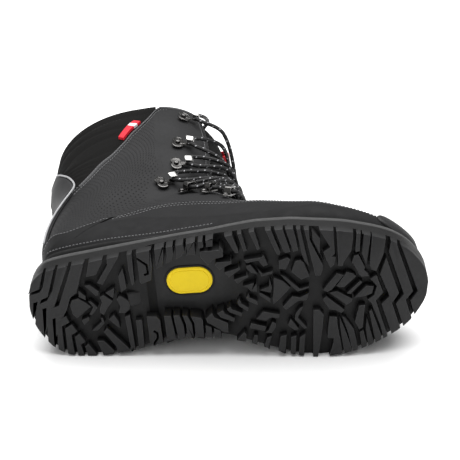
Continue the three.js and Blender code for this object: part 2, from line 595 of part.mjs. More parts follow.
// The cup-shaped midsole, with a bed the shape of the lasted upper.
const MIDSOLE_INSET = { low: 2, high: 5.5 };
const rimHeight = (x) => MIDSOLE_RIM + HEEL_LIFT * smooth((120 - x / stretchX) / 70);
const RAND_OUT = LAYER_GAP + RAND;
const BUMPER_OUT = RAND_OUT + LAYER_GAP + BUMPER;
const midsoleBlock = slab(
  { inset: MIDSOLE_INSET.low, z: () => OUTSOLE_TOP + GAP },
  { inset: MIDSOLE_INSET.high, z: rimHeight },
  24,
  2,
);
const BED_STOPS = [0, 0.6, 1.3, 2, 3, 4, 5, 6, 7, 8, 8.6, 9, 9.4, 9.7, 9.9, 10.1, 10.3, 10.6, 11];
const bed = form(RAND_OUT + LAYER_GAP, BED_STOPS, 32);
const toeBed = form(BUMPER_OUT + LAYER_GAP, [0, 0.6, 1.2, 2, 3.4], 32);
const midsole = midsoleBlock.subtract(bed).subtract(toeBed);
const midsoleBody = midsole.decompose().sort((a, b) => b.volume() - a.volume())[0];
part("midsole", midsoleBody, FINISH.midsole);

// ---- the upper ----
const RIM_DROP = 40; // the rim is this much lower at the back than at the front
const SECTION_RISE = 30; // height between the last two sections
const rimAt = (theta) => RIM - (RIM_DROP / SECTION_RISE) * ((1 - Math.cos(theta)) / 2) ** 1.6;
const throatAngle = curveThrough([[7, 12], [7.6, 24], [9, 33], [12, 34], [RIM, 33]]);
const collarLine = curveThrough([
  [0, 17.2], [62, 17.2], [76, 16.6], [85, 15.5], [95, 14.1], [104, 13.2], [127, 12.25], [145, 12],
  [180, 11.9],
]);
const vampEnd = (theta) => THROAT + 0.1 * (1 - Math.cos(theta));
const SEAM = 0.04; // gap between neighbouring pieces, in sections
const OUTER = { outer: 0, inner: -LEATHER };
const LINING_OUT = -(LEATHER + INNER_AIR);
const LINING_IN = LINING_OUT - LINING;
const signedTheta = (v) => v * 2 * Math.PI;

part(
  "vamp",
  sheet({
    at: (u, v) => {
      const theta = signedTheta(v);
      return [along(0, vampEnd(theta), u), theta];
    },
    ...OUTER,
    nu: 9,
    nv: 24,
    ring: true,
    capStart: true,
  }),
  FINISH.nubuck,
);

const BACK_SEAM = 0.6 * DEG;
const sides = [
  ["outer", 1],
  ["inner", -1],
];
for (const [side, sign] of sides) {
  const quarterAt = (u, v) => {
    const start = throatAngle(along(THROAT, RIM, u)) * DEG;
    const theta = lerp(start, Math.PI - BACK_SEAM, v);
    const top = Math.min(collarLine(theta / DEG), rimAt(theta)) - SEAM;
    return [along(vampEnd(theta) + SEAM, top, u), sign * theta];
  };
  part(`quarter_${side}`, sheet({ at: quarterAt, ...OUTER, nu: 14, nv: 11 }), FINISH.leather);
}

const COLLAR_START = 77 * DEG;
part(
  "collar",
  sheet({
    at: (u, v) => {
      const theta = lerp(COLLAR_START, 2 * Math.PI - COLLAR_START, v);
      const fold = theta > Math.PI ? 2 * Math.PI - theta : theta;
      return [lerp(collarLine(fold / DEG) + SEAM, rimAt(theta), u), theta];
    },
    outer: (u, v) => COLLAR_SWELL * Math.min(smooth(5 * v), smooth(5 * (1 - v))) * Math.sin(Math.PI * u),
    inner: -LEATHER,
    nu: 4,
    nv: 24,
  }),
  FINISH.padding,
);

const LINING_DROP = 0.3; // the lining ends this far below the rim, in sections
part(
  "lining",
  sheet({
    at: (u, v) => [along(0, rimAt(signedTheta(v)) - LINING_DROP, u), signedTheta(v)],
    outer: LINING_OUT,
    inner: LINING_IN,
    nu: 24,
    nv: 24,
    ring: true,
    capStart: true,
  }),
  FINISH.lining,
);

const TONGUE_MARGIN = 3.5; // degrees between the tongue and the throat's edges
const TONGUE_TOP = RIM - 0.35;
const TONGUE_OUT = -2;
part(
  "tongue",
  sheet({
    at: (u, v) => {
      const s = along(THROAT + 0.35, TONGUE_TOP, u);
      return [s, (throatAngle(s) - TONGUE_MARGIN) * DEG * lerp(-1, 1, v)];
    },
    outer: TONGUE_OUT,
    inner: TONGUE_OUT - TONGUE_THICKNESS,
    nu: 14,
    nv: 4,
  }),
  FINISH.padding,
);

// Stiffeners between the leather and the lining.
const STIFFENER_GAP = 0.8;
const INNER_OUT = -LEATHER - STIFFENER_GAP;
const INNER_IN = LINING_OUT + 1.5 * STIFFENER_GAP;
const belowAt = (from, to, spread) => (u, v) => {
  return [along(from, to, u), Math.PI + lerp(-spread, spread, v) * DEG];
};
const STIFFENER = { outer: INNER_OUT, inner: INNER_IN };
part("insole_board", sheet({ at: belowAt(0.6, 9.7, 32), ...STIFFENER, nu: 12, nv: 3 }), FINISH.board);
part(
  "heel_counter",
  sheet({ at: belowAt(10.1, 11.6, 78), ...STIFFENER, nu: 4, nv: 12 }),
  FINISH.board,
);
part(
  "toe_puff",
  sheet({
    at: (u, v) => [lerp(0.4, 2.6, u), lerp(-100, 100, v) * DEG],
    ...STIFFENER,
    nu: 4,
    nv: 12,
  }),
  FINISH.board,
);
const SHANK_GAP = 0.6;
part(
  "shank",
  sheet({ at: belowAt(6.2, 9.4, 9), outer: 2.6, inner: SHANK_GAP, nu: 10, nv: 2 }),
  FINISH.steel,
);
part(
  "footbed",
  sheet({
    at: belowAt(0.9, 9.8, 46),
    outer: LINING_IN - LAYER_GAP,
    inner: LINING_IN - LAYER_GAP - FOOTBED,
    nu: 11,
    nv: 4,
  }),
  FINISH.lining,
);

// Outer bands along the bottom of the upper.
const randLine = curveThrough([
  [1.2, 62], [3, 74], [5, 72], [7, 66], [8, 70], [9, 79], [9.7, 92],
]);
const RAND_LAYER = { outer: RAND_OUT, inner: LAYER_GAP };
const RAND_FOOT = 152; // angle where a band is turned in under the foot
for (const [side, sign] of sides) {
  const randAt = (u, v) => {
    const s = along(1.3, 9.66, u);
    return [s, sign * lerp(randLine(s), RAND_FOOT, v) * DEG];
  };
  part(`rand_${side}`, sheet({ at: randAt, ...RAND_LAYER, nu: 13, nv: 4 }), FINISH.nubuck);
}
part(
  "heel_rand",
  sheet({ at: belowAt(9.72, 10.5, 86), ...RAND_LAYER, nu: 4, nv: 14 }),
  FINISH.nubuck,
);
part(
  "toe_bumper",
  sheet({
    at: (u, v) => {
      const theta = signedTheta(v);
      const reach = 0.9 + 2.1 * Math.sin(theta) ** 2 - 0.3 * Math.max(0, -Math.cos(theta));
      return [reach * u, theta];
    },
    outer: BUMPER_OUT,
    inner: RAND_OUT + LAYER_GAP,
    nu: 4,
    nv: 24,
    ring: true,
    capStart: true,
  }),
  FINISH.rubber,
);

// Facings along the throat, under the hooks.
const FACING_OUT = LAYER_GAP + FACING;
const FACING_WIDTH = 42; // degrees round the shaft
for (const [side, sign] of sides) {
  const facingAt = (u, v) => {
    const s = along(THROAT + 0.45, RIM - 0.12, u);
    const edge = throatAngle(s) + 0.5;
    const theta = lerp(edge, edge + FACING_WIDTH * smooth((s - THROAT + 1) / 1.6), v);
    return [s, sign * theta * DEG];
  };
  const facing = sheet({ at: facingAt, outer: FACING_OUT, inner: LAYER_GAP, nu: 14, nv: 3 });
  part(`facing_${side}`, facing, FINISH.leather);
}

// Heel patch with its piping, sewn over the quarters and the collar.
const patchHalf = curveThrough([
  [10.6, 15], [11.1, 22], [11.6, 34], [12.15, 45], [12.6, 42], [13.1, 34], [13.55, 26],
]);
const PATCH = { from: 10.6, to: 13.55, inner: COLLAR_SWELL + LAYER_GAP, thickness: 1 };
part(
  "heel_patch",
  sheet({
    at: (u, v) => {
      const s = lerp(PATCH.from, PATCH.to, u);
      return [s, Math.PI + lerp(-1, 1, v) * patchHalf(s) * DEG];
    },
    outer: PATCH.inner + PATCH.thickness,
    inner: PATCH.inner,
    nu: 6,
    nv: 6,
  }),
  FINISH.nubuck,
);

const PIPING_RADIUS = 0.8;
const PIPING_ANGLE = 1.9; // degrees between the patch's edge and the piping's middle
const PIPING_LIFT = 0.06;

// A curve whose points are spread as they were given, not by length.
class Route extends THREE.CatmullRomCurve3 {
  getPointAt(t, target) {
    return this.getPoint(t, target);
  }
  getTangentAt(t, target) {
    return this.getTangent(t, target);
  }
}

function tube(points, radius, sideCount, steps) {
  const section = new THREE.Shape();
  for (let i = 0; i < sideCount; i++) {
    const angle = (i / sideCount) * 2 * Math.PI;
    const corner = [radius * Math.cos(angle), radius * Math.sin(angle)];
    if (i === 0) section.moveTo(...corner);
    else section.lineTo(...corner);
  }
  section.closePath();
  const path = new Route(points, false, "centripetal");
  return solidFrom(new THREE.ExtrudeGeometry(section, { steps, extrudePath: path, curveSegments: 1 }));
}

const pipingPoints = [];
const PIPING_STEPS = 12;
for (let i = 0; i <= PIPING_STEPS; i++) {
  const s = lerp(PATCH.from + 0.1, PATCH.to + PIPING_LIFT, i / PIPING_STEPS);
  pipingPoints.push([s, 180 - patchHalf(s) - PIPING_ANGLE]);
}
pipingPoints.push([PATCH.to + 0.13, 170]);
pipingPoints.push([PATCH.to + 0.15, 180]);
const mirrored = [...pipingPoints].reverse().slice(1).map(([s, angle]) => [s, 360 - angle]);
const pipingRoute = [...pipingPoints, ...mirrored].map(([s, angle]) =>
  surface(s, angle * DEG, PATCH.inner + PIPING_RADIUS),
);
part("heel_piping", tube(pipingRoute, PIPING_RADIUS, 6, pipingRoute.length - 1), FINISH.piping);

part(
  "side_label",
  sheet({
    at: (u, v) => [lerp(15.4, 14.35, u) + 0.2 * v, (lerp(86, 93.6, u) + 5 * v) * DEG],
    outer: PATCH.inner + 1,
    inner: PATCH.inner,
    nu: 3,
    nv: 3,
  }),
  FINISH.red,
);
part(
  "pull_tab",
  sheet({
    at: (u, v) => [lerp(15.55, 16, u), lerp(-6, 8, v) * DEG],
    outer: 7.5,
    inner: TONGUE_OUT + GAP,
    nu: 1,
    nv: 4,
  }),
  FINISH.red,
);

// ---- lacing hardware ----
// Each fitting has its own frame on the facing: u towards the throat, v up the throat, n outwards.
function frameAt(s, degrees, sign, d) {
  const theta = sign * degrees * DEG;
  const step = 0.02;
  const origin = surface(s, theta, d);
  const u = surface(s, theta - sign * step, d).sub(surface(s, theta + sign * step, d)).normalize();
  const upward = surface(s + step, theta, d).sub(surface(s - step, theta, d));
  const n = new THREE.Vector3().crossVectors(u, upward).normalize();
  const inside = surface(s, theta, d - 5);
  if (n.dot(origin.clone().sub(inside)) < 0) n.negate();
  const v = new THREE.Vector3().crossVectors(n, u);
  const upSign = v.dot(upward) < 0 ? -1 : 1;
  return { matrix: new THREE.Matrix4().makeBasis(u, v, n).setPosition(origin), upSign };
}

const FITTING_BASE = FACING_OUT + 0.7;
const FITTINGS = [
  { kind: "roller", s: 8.1, angle: 56 },
  { kind: "roller", s: 8.95, angle: 57 },
  { kind: "roller", s: 9.75, angle: 62 },
  { kind: "hook", s: 10.8, angle: 73 },
  { kind: "hook", s: 12.15, angle: 68 },
  { kind: "hook", s: 13.93, angle: 65 },
  { kind: "hook", s: 16.1, angle: 57 },
];
const PLATE_RADIUS = 5;
const PLATE_SPREAD = 3.6; // from the rivet to the middle of each round of the plate
const NECK = { near: 11.1 + LACE_RADIUS, width: 4.6 };
const HEAD_LENGTH = 7.2;
const HEAD_WIDTH = 7.4;
const RIVET = { shank: 1.3, head: 2.3, height: 1.3 };
const ROLLER_AT = 11; // distance from a roller fitting's rivet to its pin
const WINDOW = { near: 2.2, wall: 1.2, width: 6.4 };
const box = (from, to) => {
  const size = to.map((value, i) => value - from[i]);
  const centre = to.map((value, i) => (value + from[i]) / 2);
  return solidFrom(new THREE.BoxGeometry(...size).translate(...centre));
};
const post = (radius, from, to, x, y, segments = 8) => {
  const geometry = new THREE.CylinderGeometry(radius, radius, to - from, segments);
  return solidFrom(geometry.rotateX(Math.PI / 2).translate(x, y, (from + to) / 2));
};
const placed = (solid, matrix) => solid.transform(matrix.elements);
const HOLE = RIVET.shank + GAP;

function hookSolid() {
  const lobes = [-1, 1].map((k) => post(PLATE_RADIUS, 0, HOOK_METAL, 0, k * PLATE_SPREAD, 10));
  const arm = box([0, -NECK.width / 2, 0], [NECK.near + HOOK_METAL, NECK.width / 2, HOOK_METAL]);
  const neck = box(
    [NECK.near, -NECK.width / 2, 0],
    [NECK.near + HOOK_METAL, NECK.width / 2, HOOK_HEIGHT],
  );
  const head = box(
    [NECK.near + HOOK_METAL - HEAD_LENGTH, -HEAD_WIDTH / 2, HOOK_HEIGHT - HOOK_METAL],
    [NECK.near + HOOK_METAL, HEAD_WIDTH / 2, HOOK_HEIGHT],
  );
  return joined([...lobes, arm, neck, head]).subtract(post(HOLE, -1, HOOK_METAL + 1, 0, 0));
}

function clipSolid() {
  const top = HOOK_HEIGHT + 0.6;
  const half = WINDOW.width / 2;
  const reach = ROLLER_AT + PIN_RADIUS + 1.6;
  const base = box([-4.6, -half, 0], [reach, half, HOOK_METAL]);
  const wall = box([WINDOW.near, -half, 0], [WINDOW.near + WINDOW.wall, half, top]);
  const roof = box([WINDOW.near, -half, top - HOOK_METAL], [reach, half, top]);
  const pin = post(PIN_RADIUS, 0, top, ROLLER_AT, 0);
  const hole = post(HOLE, -1, HOOK_METAL + 1, -1.2, 0);
  return joined([base, wall, roof, pin]).subtract(hole);
}

function rollerSolid() {
  const [low, high] = [HOOK_METAL + ROLLER_CLEARANCE, HOOK_HEIGHT + 0.6 - HOOK_METAL - ROLLER_CLEARANCE];
  const bore = PIN_RADIUS + ROLLER_CLEARANCE;
  const profile = [
    [bore, low], [ROLLER_RADIUS + 0.5, low], [ROLLER_RADIUS, (low + high) / 2],
    [ROLLER_RADIUS + 0.5, high], [bore, high], [bore, low],
  ].map(([x, y]) => new THREE.Vector2(x, y));
  const geometry = new THREE.LatheGeometry(profile, 12);
  return solidFrom(geometry.rotateX(Math.PI / 2).translate(ROLLER_AT, 0, 0));
}

function rivetSolid(x) {
  const shank = post(RIVET.shank, -GAP, HOOK_METAL + GAP + 0.2, x, 0);
  const head = post(RIVET.head, HOOK_METAL + GAP, HOOK_METAL + GAP + RIVET.height, x, 0);
  return shank.add(head);
}

const laceStops = { 1: [], "-1": [] };
for (const [side, sign] of sides) {
  FITTINGS.forEach(({ kind, s, angle }, i) => {
    const frame = frameAt(s, angle, sign, FITTING_BASE);
    laceStops[sign].push({ kind, s, frame });
    const label = `${side}_${i + 1}`;
    if (kind === "hook") {
      part(`hook_${label}`, placed(hookSolid(), frame.matrix), FINISH.gunmetal);
      part(`rivet_${label}`, placed(rivetSolid(0), frame.matrix), FINISH.steel);
    } else {
      part(`clip_${label}`, placed(clipSolid(), frame.matrix), FINISH.gunmetal);
      part(`roller_${label}`, placed(rollerSolid(), frame.matrix), FINISH.steel);
    }
  });
}

// ---- the lace ----
const LACE_HEIGHT = HOOK_METAL + (HOOK_HEIGHT - 2 * HOOK_METAL) / 2;
const TURNS = {
  hook: [[15.6, -6.4], [10.2, -2.3], [10.2, 2.3], [15.6, 6.4]],
  roller: [[8.4, -5.2], [6.1, 0], [8.4, 5.2]],
};
const CROSSING_ANGLE = 27;
const CROSSING = { over: 10.8 + 2 * LACE_RADIUS, under: 8.5 + LACE_RADIUS };

function turn({ kind, frame }, upward) {
  const points = TURNS[kind].map(([u, v]) =>
    new THREE.Vector3(u, v * frame.upSign, LACE_HEIGHT).applyMatrix4(frame.matrix),
  );
  return upward ? points : points.reverse();
}

// The lace over the tongue from fitting i on one side to fitting j on the other.
function crossing(sign, i, j, d) {
  const [from, to] = [FITTINGS[i].s, FITTINGS[j].s];
  return [0.3, 0.7].map((t, k) =>
    surface(lerp(from, to, t), sign * (k ? -1 : 1) * CROSSING_ANGLE * DEG, d),
  );
}

// Inside the shaft both ends lie on the inner side's lining.
const TAIL_DEPTH = LINING_IN - LACE_RADIUS - 1.2;
const TAIL_TURN = LINING_IN - LACE_RADIUS - 0.1;
const TAILS = {
  1: [[16.93, 27, 4.5], [17.12, 22, -3], [16.98, 17, TAIL_TURN], [16.2, 6, TAIL_DEPTH],
    [15.3, -18, TAIL_DEPTH], [14.3, -40, TAIL_DEPTH], [13.2, -58, TAIL_DEPTH],
    [12.2, -66, TAIL_DEPTH], [11.4, -68, TAIL_DEPTH]],
  "-1": [[16.93, -27, 4.5], [17.12, -23, -3], [16.98, -20, TAIL_TURN], [16.4, -36, TAIL_DEPTH],
    [15.8, -58, TAIL_DEPTH], [14.9, -78, TAIL_DEPTH], [13.8, -88, TAIL_DEPTH],
    [12.7, -90, TAIL_DEPTH], [11.8, -88, TAIL_DEPTH]],
};
const LAST = FITTINGS.length - 1;

function strand(start) {
  // From the lowest crossing up to the top hook, swapping sides at each row.
  const points = [];
  let sign = start;
  for (let i = 0; i <= LAST; i++) {
    points.push(...turn(laceStops[sign][i], true));
    if (i < LAST) {
      const over = (sign > 0) === (i % 2 === 0);
      points.push(...crossing(sign, i, i + 1, over ? CROSSING.over : CROSSING.under));
      sign = -sign;
    }
  }
  points.push(...TAILS[sign].map(([s, angle, d]) => surface(s, angle * DEG, d)));
  return points;
}

const rightStrand = strand(1);
const leftStrand = strand(-1);
const lowest = [
  [-29, 5.6],
  [0, 3.2],
  [29, 5.6],
].map(([angle, d]) => surface(FITTINGS[0].s - 0.28, angle * DEG, d + LACE_RADIUS));
const laceRoute = [...leftStrand.reverse(), ...lowest, ...rightStrand];
part("lace", tube(laceRoute, LACE_RADIUS, 8, laceRoute.length - 1), FINISH.cord);

const AGLET = { radius: 1.9, length: 22 };
function aglet(end, before) {
  const direction = end.clone().sub(before).normalize();
  const centre = end.clone().addScaledVector(direction, AGLET.length / 2 + GAP);
  const geometry = new THREE.CylinderGeometry(AGLET.radius, AGLET.radius, AGLET.length, 8);
  const turned = new THREE.Quaternion().setFromUnitVectors(new THREE.Vector3(0, 1, 0), direction);
  return solidFrom(geometry.applyQuaternion(turned).translate(centre.x, centre.y, centre.z));
}
part("aglet_1", aglet(laceRoute[0], laceRoute[1]), FINISH.steel);
part("aglet_2", aglet(laceRoute.at(-1), laceRoute.at(-2)), FINISH.steel);

// ---- lay the boot on its inner side ----
const ROLL = -4.3 * DEG; // about the tread's normal, so that heel and ball both touch the ground
const lay = new THREE.Matrix4()
  .makeBasis(new THREE.Vector3(1, 0, 0), new THREE.Vector3(0, 0, -1), new THREE.Vector3(0, 1, 0))
  .multiply(new THREE.Matrix4().makeRotationZ(ROLL));
boot.applyMatrix4(lay);
boot.updateMatrixWorld(true);
const bounds = new THREE.Box3().setFromObject(boot, true);
const middle = bounds.getCenter(new THREE.Vector3());
boot.position.set(-middle.x, -middle.y, -bounds.min.z);

export default boot;
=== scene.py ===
"""The looks of a tall laced mountaineering boot, a right boot that lies on its inner side.

Shapes are drawn in boot axes, in millimetres: x from heel to toe, y towards the inner side and z up from
the ground. A placement taken from the frame turns them into the frame's metres.
"""

import logging
import math
from dataclasses import dataclass, field
from enum import Enum
from typing import Callable, Sequence

import bmesh
import bpy
import numpy as np
from mathutils import Matrix, Vector

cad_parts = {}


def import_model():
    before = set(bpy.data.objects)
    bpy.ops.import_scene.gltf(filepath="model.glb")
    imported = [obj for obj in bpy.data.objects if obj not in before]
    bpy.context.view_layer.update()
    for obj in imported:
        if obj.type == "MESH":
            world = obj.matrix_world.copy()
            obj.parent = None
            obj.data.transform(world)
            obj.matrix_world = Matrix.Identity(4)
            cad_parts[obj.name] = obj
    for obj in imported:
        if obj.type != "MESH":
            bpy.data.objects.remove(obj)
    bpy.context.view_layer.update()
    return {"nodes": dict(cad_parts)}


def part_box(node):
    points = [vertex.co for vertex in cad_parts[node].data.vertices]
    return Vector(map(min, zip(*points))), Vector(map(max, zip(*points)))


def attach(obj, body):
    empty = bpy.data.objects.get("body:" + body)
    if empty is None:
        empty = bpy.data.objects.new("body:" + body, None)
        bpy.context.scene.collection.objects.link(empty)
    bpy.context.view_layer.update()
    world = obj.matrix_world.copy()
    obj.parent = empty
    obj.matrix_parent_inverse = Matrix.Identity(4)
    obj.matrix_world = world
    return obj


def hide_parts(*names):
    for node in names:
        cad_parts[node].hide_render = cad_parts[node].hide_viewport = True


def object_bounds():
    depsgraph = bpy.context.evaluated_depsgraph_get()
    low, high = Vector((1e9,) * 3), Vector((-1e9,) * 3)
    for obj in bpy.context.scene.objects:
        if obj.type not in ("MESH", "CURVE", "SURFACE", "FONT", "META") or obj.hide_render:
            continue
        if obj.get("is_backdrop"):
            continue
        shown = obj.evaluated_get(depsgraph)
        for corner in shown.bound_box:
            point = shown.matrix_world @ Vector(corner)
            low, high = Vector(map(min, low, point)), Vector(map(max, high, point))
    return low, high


Array = np.ndarray
Numbers = float | Array
DEG = math.pi / 180
MM = 0.001
log = logging.getLogger("boot")


class Side(Enum):
    """The boot's two sides, with the sign of the angles round its surface."""

    OUTER = 1
    INNER = -1

    @property
    def label(self) -> str:
        """The side's name in lower case."""
        return self.name.lower()


# ---------------------------------------------------------------- the boot's form


def smooth(t: Numbers) -> Array:
    """A soft step from 0 at 0 to 1 at 1."""
    c = np.clip(t, 0, 1)
    return c * c * (3 - 2 * c)


def lerp(a: Numbers, b: Numbers, t: Numbers) -> Numbers:
    """The value a share t of the way from a to b."""
    return a + (b - a) * t


class Curve:
    """A curve through points that never overshoots them."""

    def __init__(self, points: Sequence[Sequence[float]]) -> None:
        """Fits the curve.

        Args:
            points: pairs of x and y, with x rising.
        """
        self.x, self.y = np.array(points, float).T
        slope = np.diff(self.y) / np.diff(self.x)
        inner = slope[:-1] * slope[1:]
        total = np.where(inner > 0, slope[:-1] + slope[1:], 1.0)
        middle = np.where(inner > 0, 2 * inner / total, 0.0)
        self.tangent = np.concatenate([slope[:1], middle, slope[-1:]])

    def __call__(self, x: Numbers) -> Array:
        """The curve's y at each x."""
        x = np.asarray(x, float)
        i = np.clip(np.searchsorted(self.x, x) - 1, 0, len(self.x) - 2)
        h = self.x[i + 1] - self.x[i]
        t = np.clip((x - self.x[i]) / h, 0, 1)
        return (
            (2 * t**3 - 3 * t**2 + 1) * self.y[i]
            + (t**3 - 2 * t**2 + t) * h * self.tangent[i]
            + (3 * t**2 - 2 * t**3) * self.y[i + 1]
            + (t**3 - t**2) * h * self.tangent[i + 1]
        )


@dataclass(frozen=True)
class Last:
    """The form that the upper is stretched over, as sections from the toe tip to the rim.

    Each row holds the top point's x and z, the bottom or back point's x and z, the half width, the
    middle's y, the share of the line where it is widest, and how square it is above and below that.
    """

    rows: tuple[tuple[float, ...], ...] = (
        (306, 50, 306, 44, 3, 6, 0.6, 2.2, 2.6),
        (302, 57, 302, 39, 17, 6, 0.6, 2.2, 2.8),
        (293, 62, 293, 34, 28.5, 5, 0.6, 2.2, 3),
        (275, 68, 275, 30, 39.5, 2, 0.6, 2.2, 3.2),
        (250, 75, 250, 27, 46.5, -1, 0.62, 2.2, 3.4),
        (225, 86, 225, 25.5, 49.5, -3, 0.66, 2.1, 3.4),
        (205, 96, 205, 25, 48.5, -3, 0.68, 2.1, 3.4),
        (185, 112, 185, 26, 45, -3, 0.66, 2.1, 3.2),
        (166.5, 129.5, 130, 28.5, 41, -2, 0.62, 2.2, 3.2),
        (158.5, 148.5, 64, 36, 39, -1, 0.6, 2.3, 3.4),
        (156, 157.5, 10, 43.5, 38.5, 0, 0.6, 2.4, 3.2),
        (153.5, 165.5, 3.5, 95.5, 40, -1, 0.56, 2.4, 2.8),
        (151, 173, 5, 142, 42, -2, 0.5, 2.4, 2.4),
        (150, 180, -3, 180, 45, -3, 0.5, 2.4, 2.3),
        (149, 203, -5, 203, 47.5, -4, 0.5, 2.4, 2.3),
        (146, 228, -6, 228, 50, -6, 0.5, 2.4, 2.3),
        (142, 250, -6, 250, 51, -7.5, 0.5, 2.4, 2.3),
        (136, 280, -4, 280, 51.5, -8, 0.5, 2.4, 2.3),
    )
    blunt: float = 18
    toe_reach: float = 60

    def columns(self) -> list[Curve]:
        """One curve along the sections for each column of the rows."""
        table = np.array(self.rows)
        return [Curve([(i, v) for i, v in enumerate(column)]) for column in table.T]


LAST = Last()
COLUMNS = LAST.columns()
RIM = len(LAST.rows) - 1
THROAT = 7
RIM_DROP = 40 / 30
HEEL_TURN = (8.7, 2, 3)  # where sections crowd together: start, length and extra steps


def surface(s: Numbers, theta: Numbers, d: Numbers = 0.0) -> Array:
    """Points of the upper's outer face.

    Args:
        s: section, from 0 at the toe tip.
        theta: angle in radians, 0 on top, a quarter turn on the outer side, a half turn below or behind.
        d: depth outwards in millimetres.

    Returns:
        Points in boot axes, with a last axis of three.
    """
    s, theta, d = np.broadcast_arrays(*(np.asarray(v, float) for v in (s, theta, d)))
    top_x, top_z, low_x, low_z, half, middle, share, square_top, square_low = (c(s) for c in COLUMNS)
    length = np.hypot(low_x - top_x, low_z - top_z)
    down_x, down_z = (low_x - top_x) / length, (low_z - top_z) / length
    above = length * share
    cos, sin = np.cos(theta), np.sin(theta)
    upper = cos > 0
    power = 2 / np.where(upper, square_top, square_low)

    def grown(h: Array) -> Array:
        """A half size with the depth added, less of it where the section is small."""
        return h + d * np.minimum(1, h / LAST.blunt)

    reach = np.where(upper, grown(above), grown(length - above))
    down = above - np.sign(cos) * np.abs(cos) ** power * reach
    across = np.sign(sin) * np.abs(sin) ** power * grown(half)
    forward = d * np.maximum(0, 1 - (LAST.rows[0][0] - top_x) / LAST.toe_reach)
    return np.stack([top_x + down_x * down + forward, middle - across, top_z + down_z * down], -1)


def outward(s: Numbers, theta: Numbers, d: Numbers) -> Array:
    """Unit directions that point out of the surface."""
    step = surface(s, theta, np.asarray(d) + 1.0) - surface(s, theta, np.asarray(d) - 1.0)
    return step / np.linalg.norm(step, axis=-1, keepdims=True)


def along(start: Numbers, end: Numbers, t: Numbers) -> Array:
    """Sections spread from start to end, closer together round the heel.

    Args:
        start: first section.
        end: last section.
        t: shares of the way.

    Returns:
        The sections.
    """
    grid = np.linspace(0, RIM, 1500)
    turn_start, turn_length, extra = HEEL_TURN
    packed = grid + extra * smooth((grid - turn_start) / turn_length)
    target = lerp(np.interp(start, grid, packed), np.interp(end, grid, packed), t)
    return np.interp(target, packed, grid)


def rim_at(theta: Numbers) -> Array:
    """The rim's section at an angle: the shaft is lower at the back."""
    return RIM - RIM_DROP * ((1 - np.cos(theta)) / 2) ** 1.6


throat_angle = Curve([(7, 12), (7.6, 24), (9, 33), (12, 34), (RIM, 33)])
collar_line = Curve(
    [(0, 17.2), (62, 17.2), (76, 16.6), (85, 15.5), (95, 14.1), (104, 13.2), (127, 12.25), (145, 12),
     (180, 11.9)]
)
rand_line = Curve([(1.2, 62), (3, 74), (5, 72), (7, 66), (8, 70), (9, 79), (9.7, 92)])
patch_half = Curve(
    [(10.6, 15), (11.1, 22), (11.6, 34), (12.15, 45), (12.6, 42), (13.1, 34), (13.55, 26)]
)


@dataclass(frozen=True)
class Layers:
    """Depths of the upper's layers, in millimetres out of the last's face."""

    patch: float = 2.8
    tongue_out: float = -2
    tongue_in: float = -4.8
    fitting: float = 2.9


LAYERS = Layers()


@dataclass(frozen=True)
class Placement:
    """Turns boot axes in millimetres into the frame's metres."""

    roll: float
    offset: Array

    @classmethod
    def from_frame(cls) -> "Placement":
        """Reads the place from the frame: the tread's plane and the middle of the sole's badge.

        Returns:
            The placement.
        """
        roll = -4.3 * DEG
        low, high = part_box("sole_badge")
        badge = (np.array(low) + np.array(high)) / 2
        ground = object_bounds()[0].y
        cos, sin = math.cos(roll), math.sin(roll)
        x, y = Sole.badge_middle
        turned = np.array([x * cos - y * sin, 0, -(x * sin + y * cos)]) * MM
        return cls(roll, np.array([badge[0] - turned[0], ground, badge[2] - turned[2]]))

    def __call__(self, points: Array) -> Array:
        """Points in the frame's metres."""
        x, y, z = np.moveaxis(np.asarray(points, float), -1, 0)
        cos, sin = math.cos(self.roll), math.sin(self.roll)
        return np.stack([x * cos - y * sin, z, -(x * sin + y * cos)], -1) * MM + self.offset


# ---------------------------------------------------------------- closed meshes


@dataclass
class Solid:
    """A closed mesh in boot axes, with a place in millimetres on its cloth for each face corner."""

    points: Array
    faces: list[tuple[int, ...]]
    corners: list[tuple[tuple[float, float], ...]]
    shade: Array

    @classmethod
    def joined(cls, solids: Sequence["Solid"]) -> "Solid":
        """Several closed meshes in one.

        Args:
            solids: the meshes.

        Returns:
            One mesh that holds them all.
        """
        faces: list[tuple[int, ...]] = []
        corners: list[tuple[tuple[float, float], ...]] = []
        start = 0
        for solid in solids:
            faces += [tuple(i + start for i in face) for face in solid.faces]
            corners += solid.corners
            start += len(solid.points)
        points = np.concatenate([solid.points for solid in solids])
        return cls(points, faces, corners, np.concatenate([solid.shade for solid in solids]))

    def moved(self, matrix: Array) -> "Solid":
        """The same mesh carried by a 4 by 4 matrix."""
        points = self.points @ matrix[:3, :3].T + matrix[:3, 3]
        return Solid(points, self.faces, self.corners, self.shade)


def edge_steps(count: int, length: float, edge: float = 1.2) -> Array:
    """Shares from 0 to 1 that crowd near both ends, so that an edge can be rounded.

    Args:
        count: how many even steps lie between the edges.
        length: the whole run in millimetres.
        edge: width of each rounded edge in millimetres.

    Returns:
        The shares.
    """
    share = edge / length
    near = np.array([0, 0.12, 0.4, 1]) * share
    return np.concatenate([near, np.linspace(share, 1 - share, count)[1:-1], 1 - near[::-1]])


def rounded(t: Array, length: float, edge: float = 1.2) -> Array:
    """How much of its thickness a sheet has at shares t of a run, 1 but near both ends.

    Args:
        t: shares from 0 to 1.
        length: the whole run in millimetres.
        edge: width of each rounded edge in millimetres.

    Returns:
        Shares of the thickness.
    """
    near = np.clip(np.minimum(t, 1 - t) * length / edge, 0, 1)
    return np.sqrt(np.maximum(0, 1 - (1 - near) ** 2))


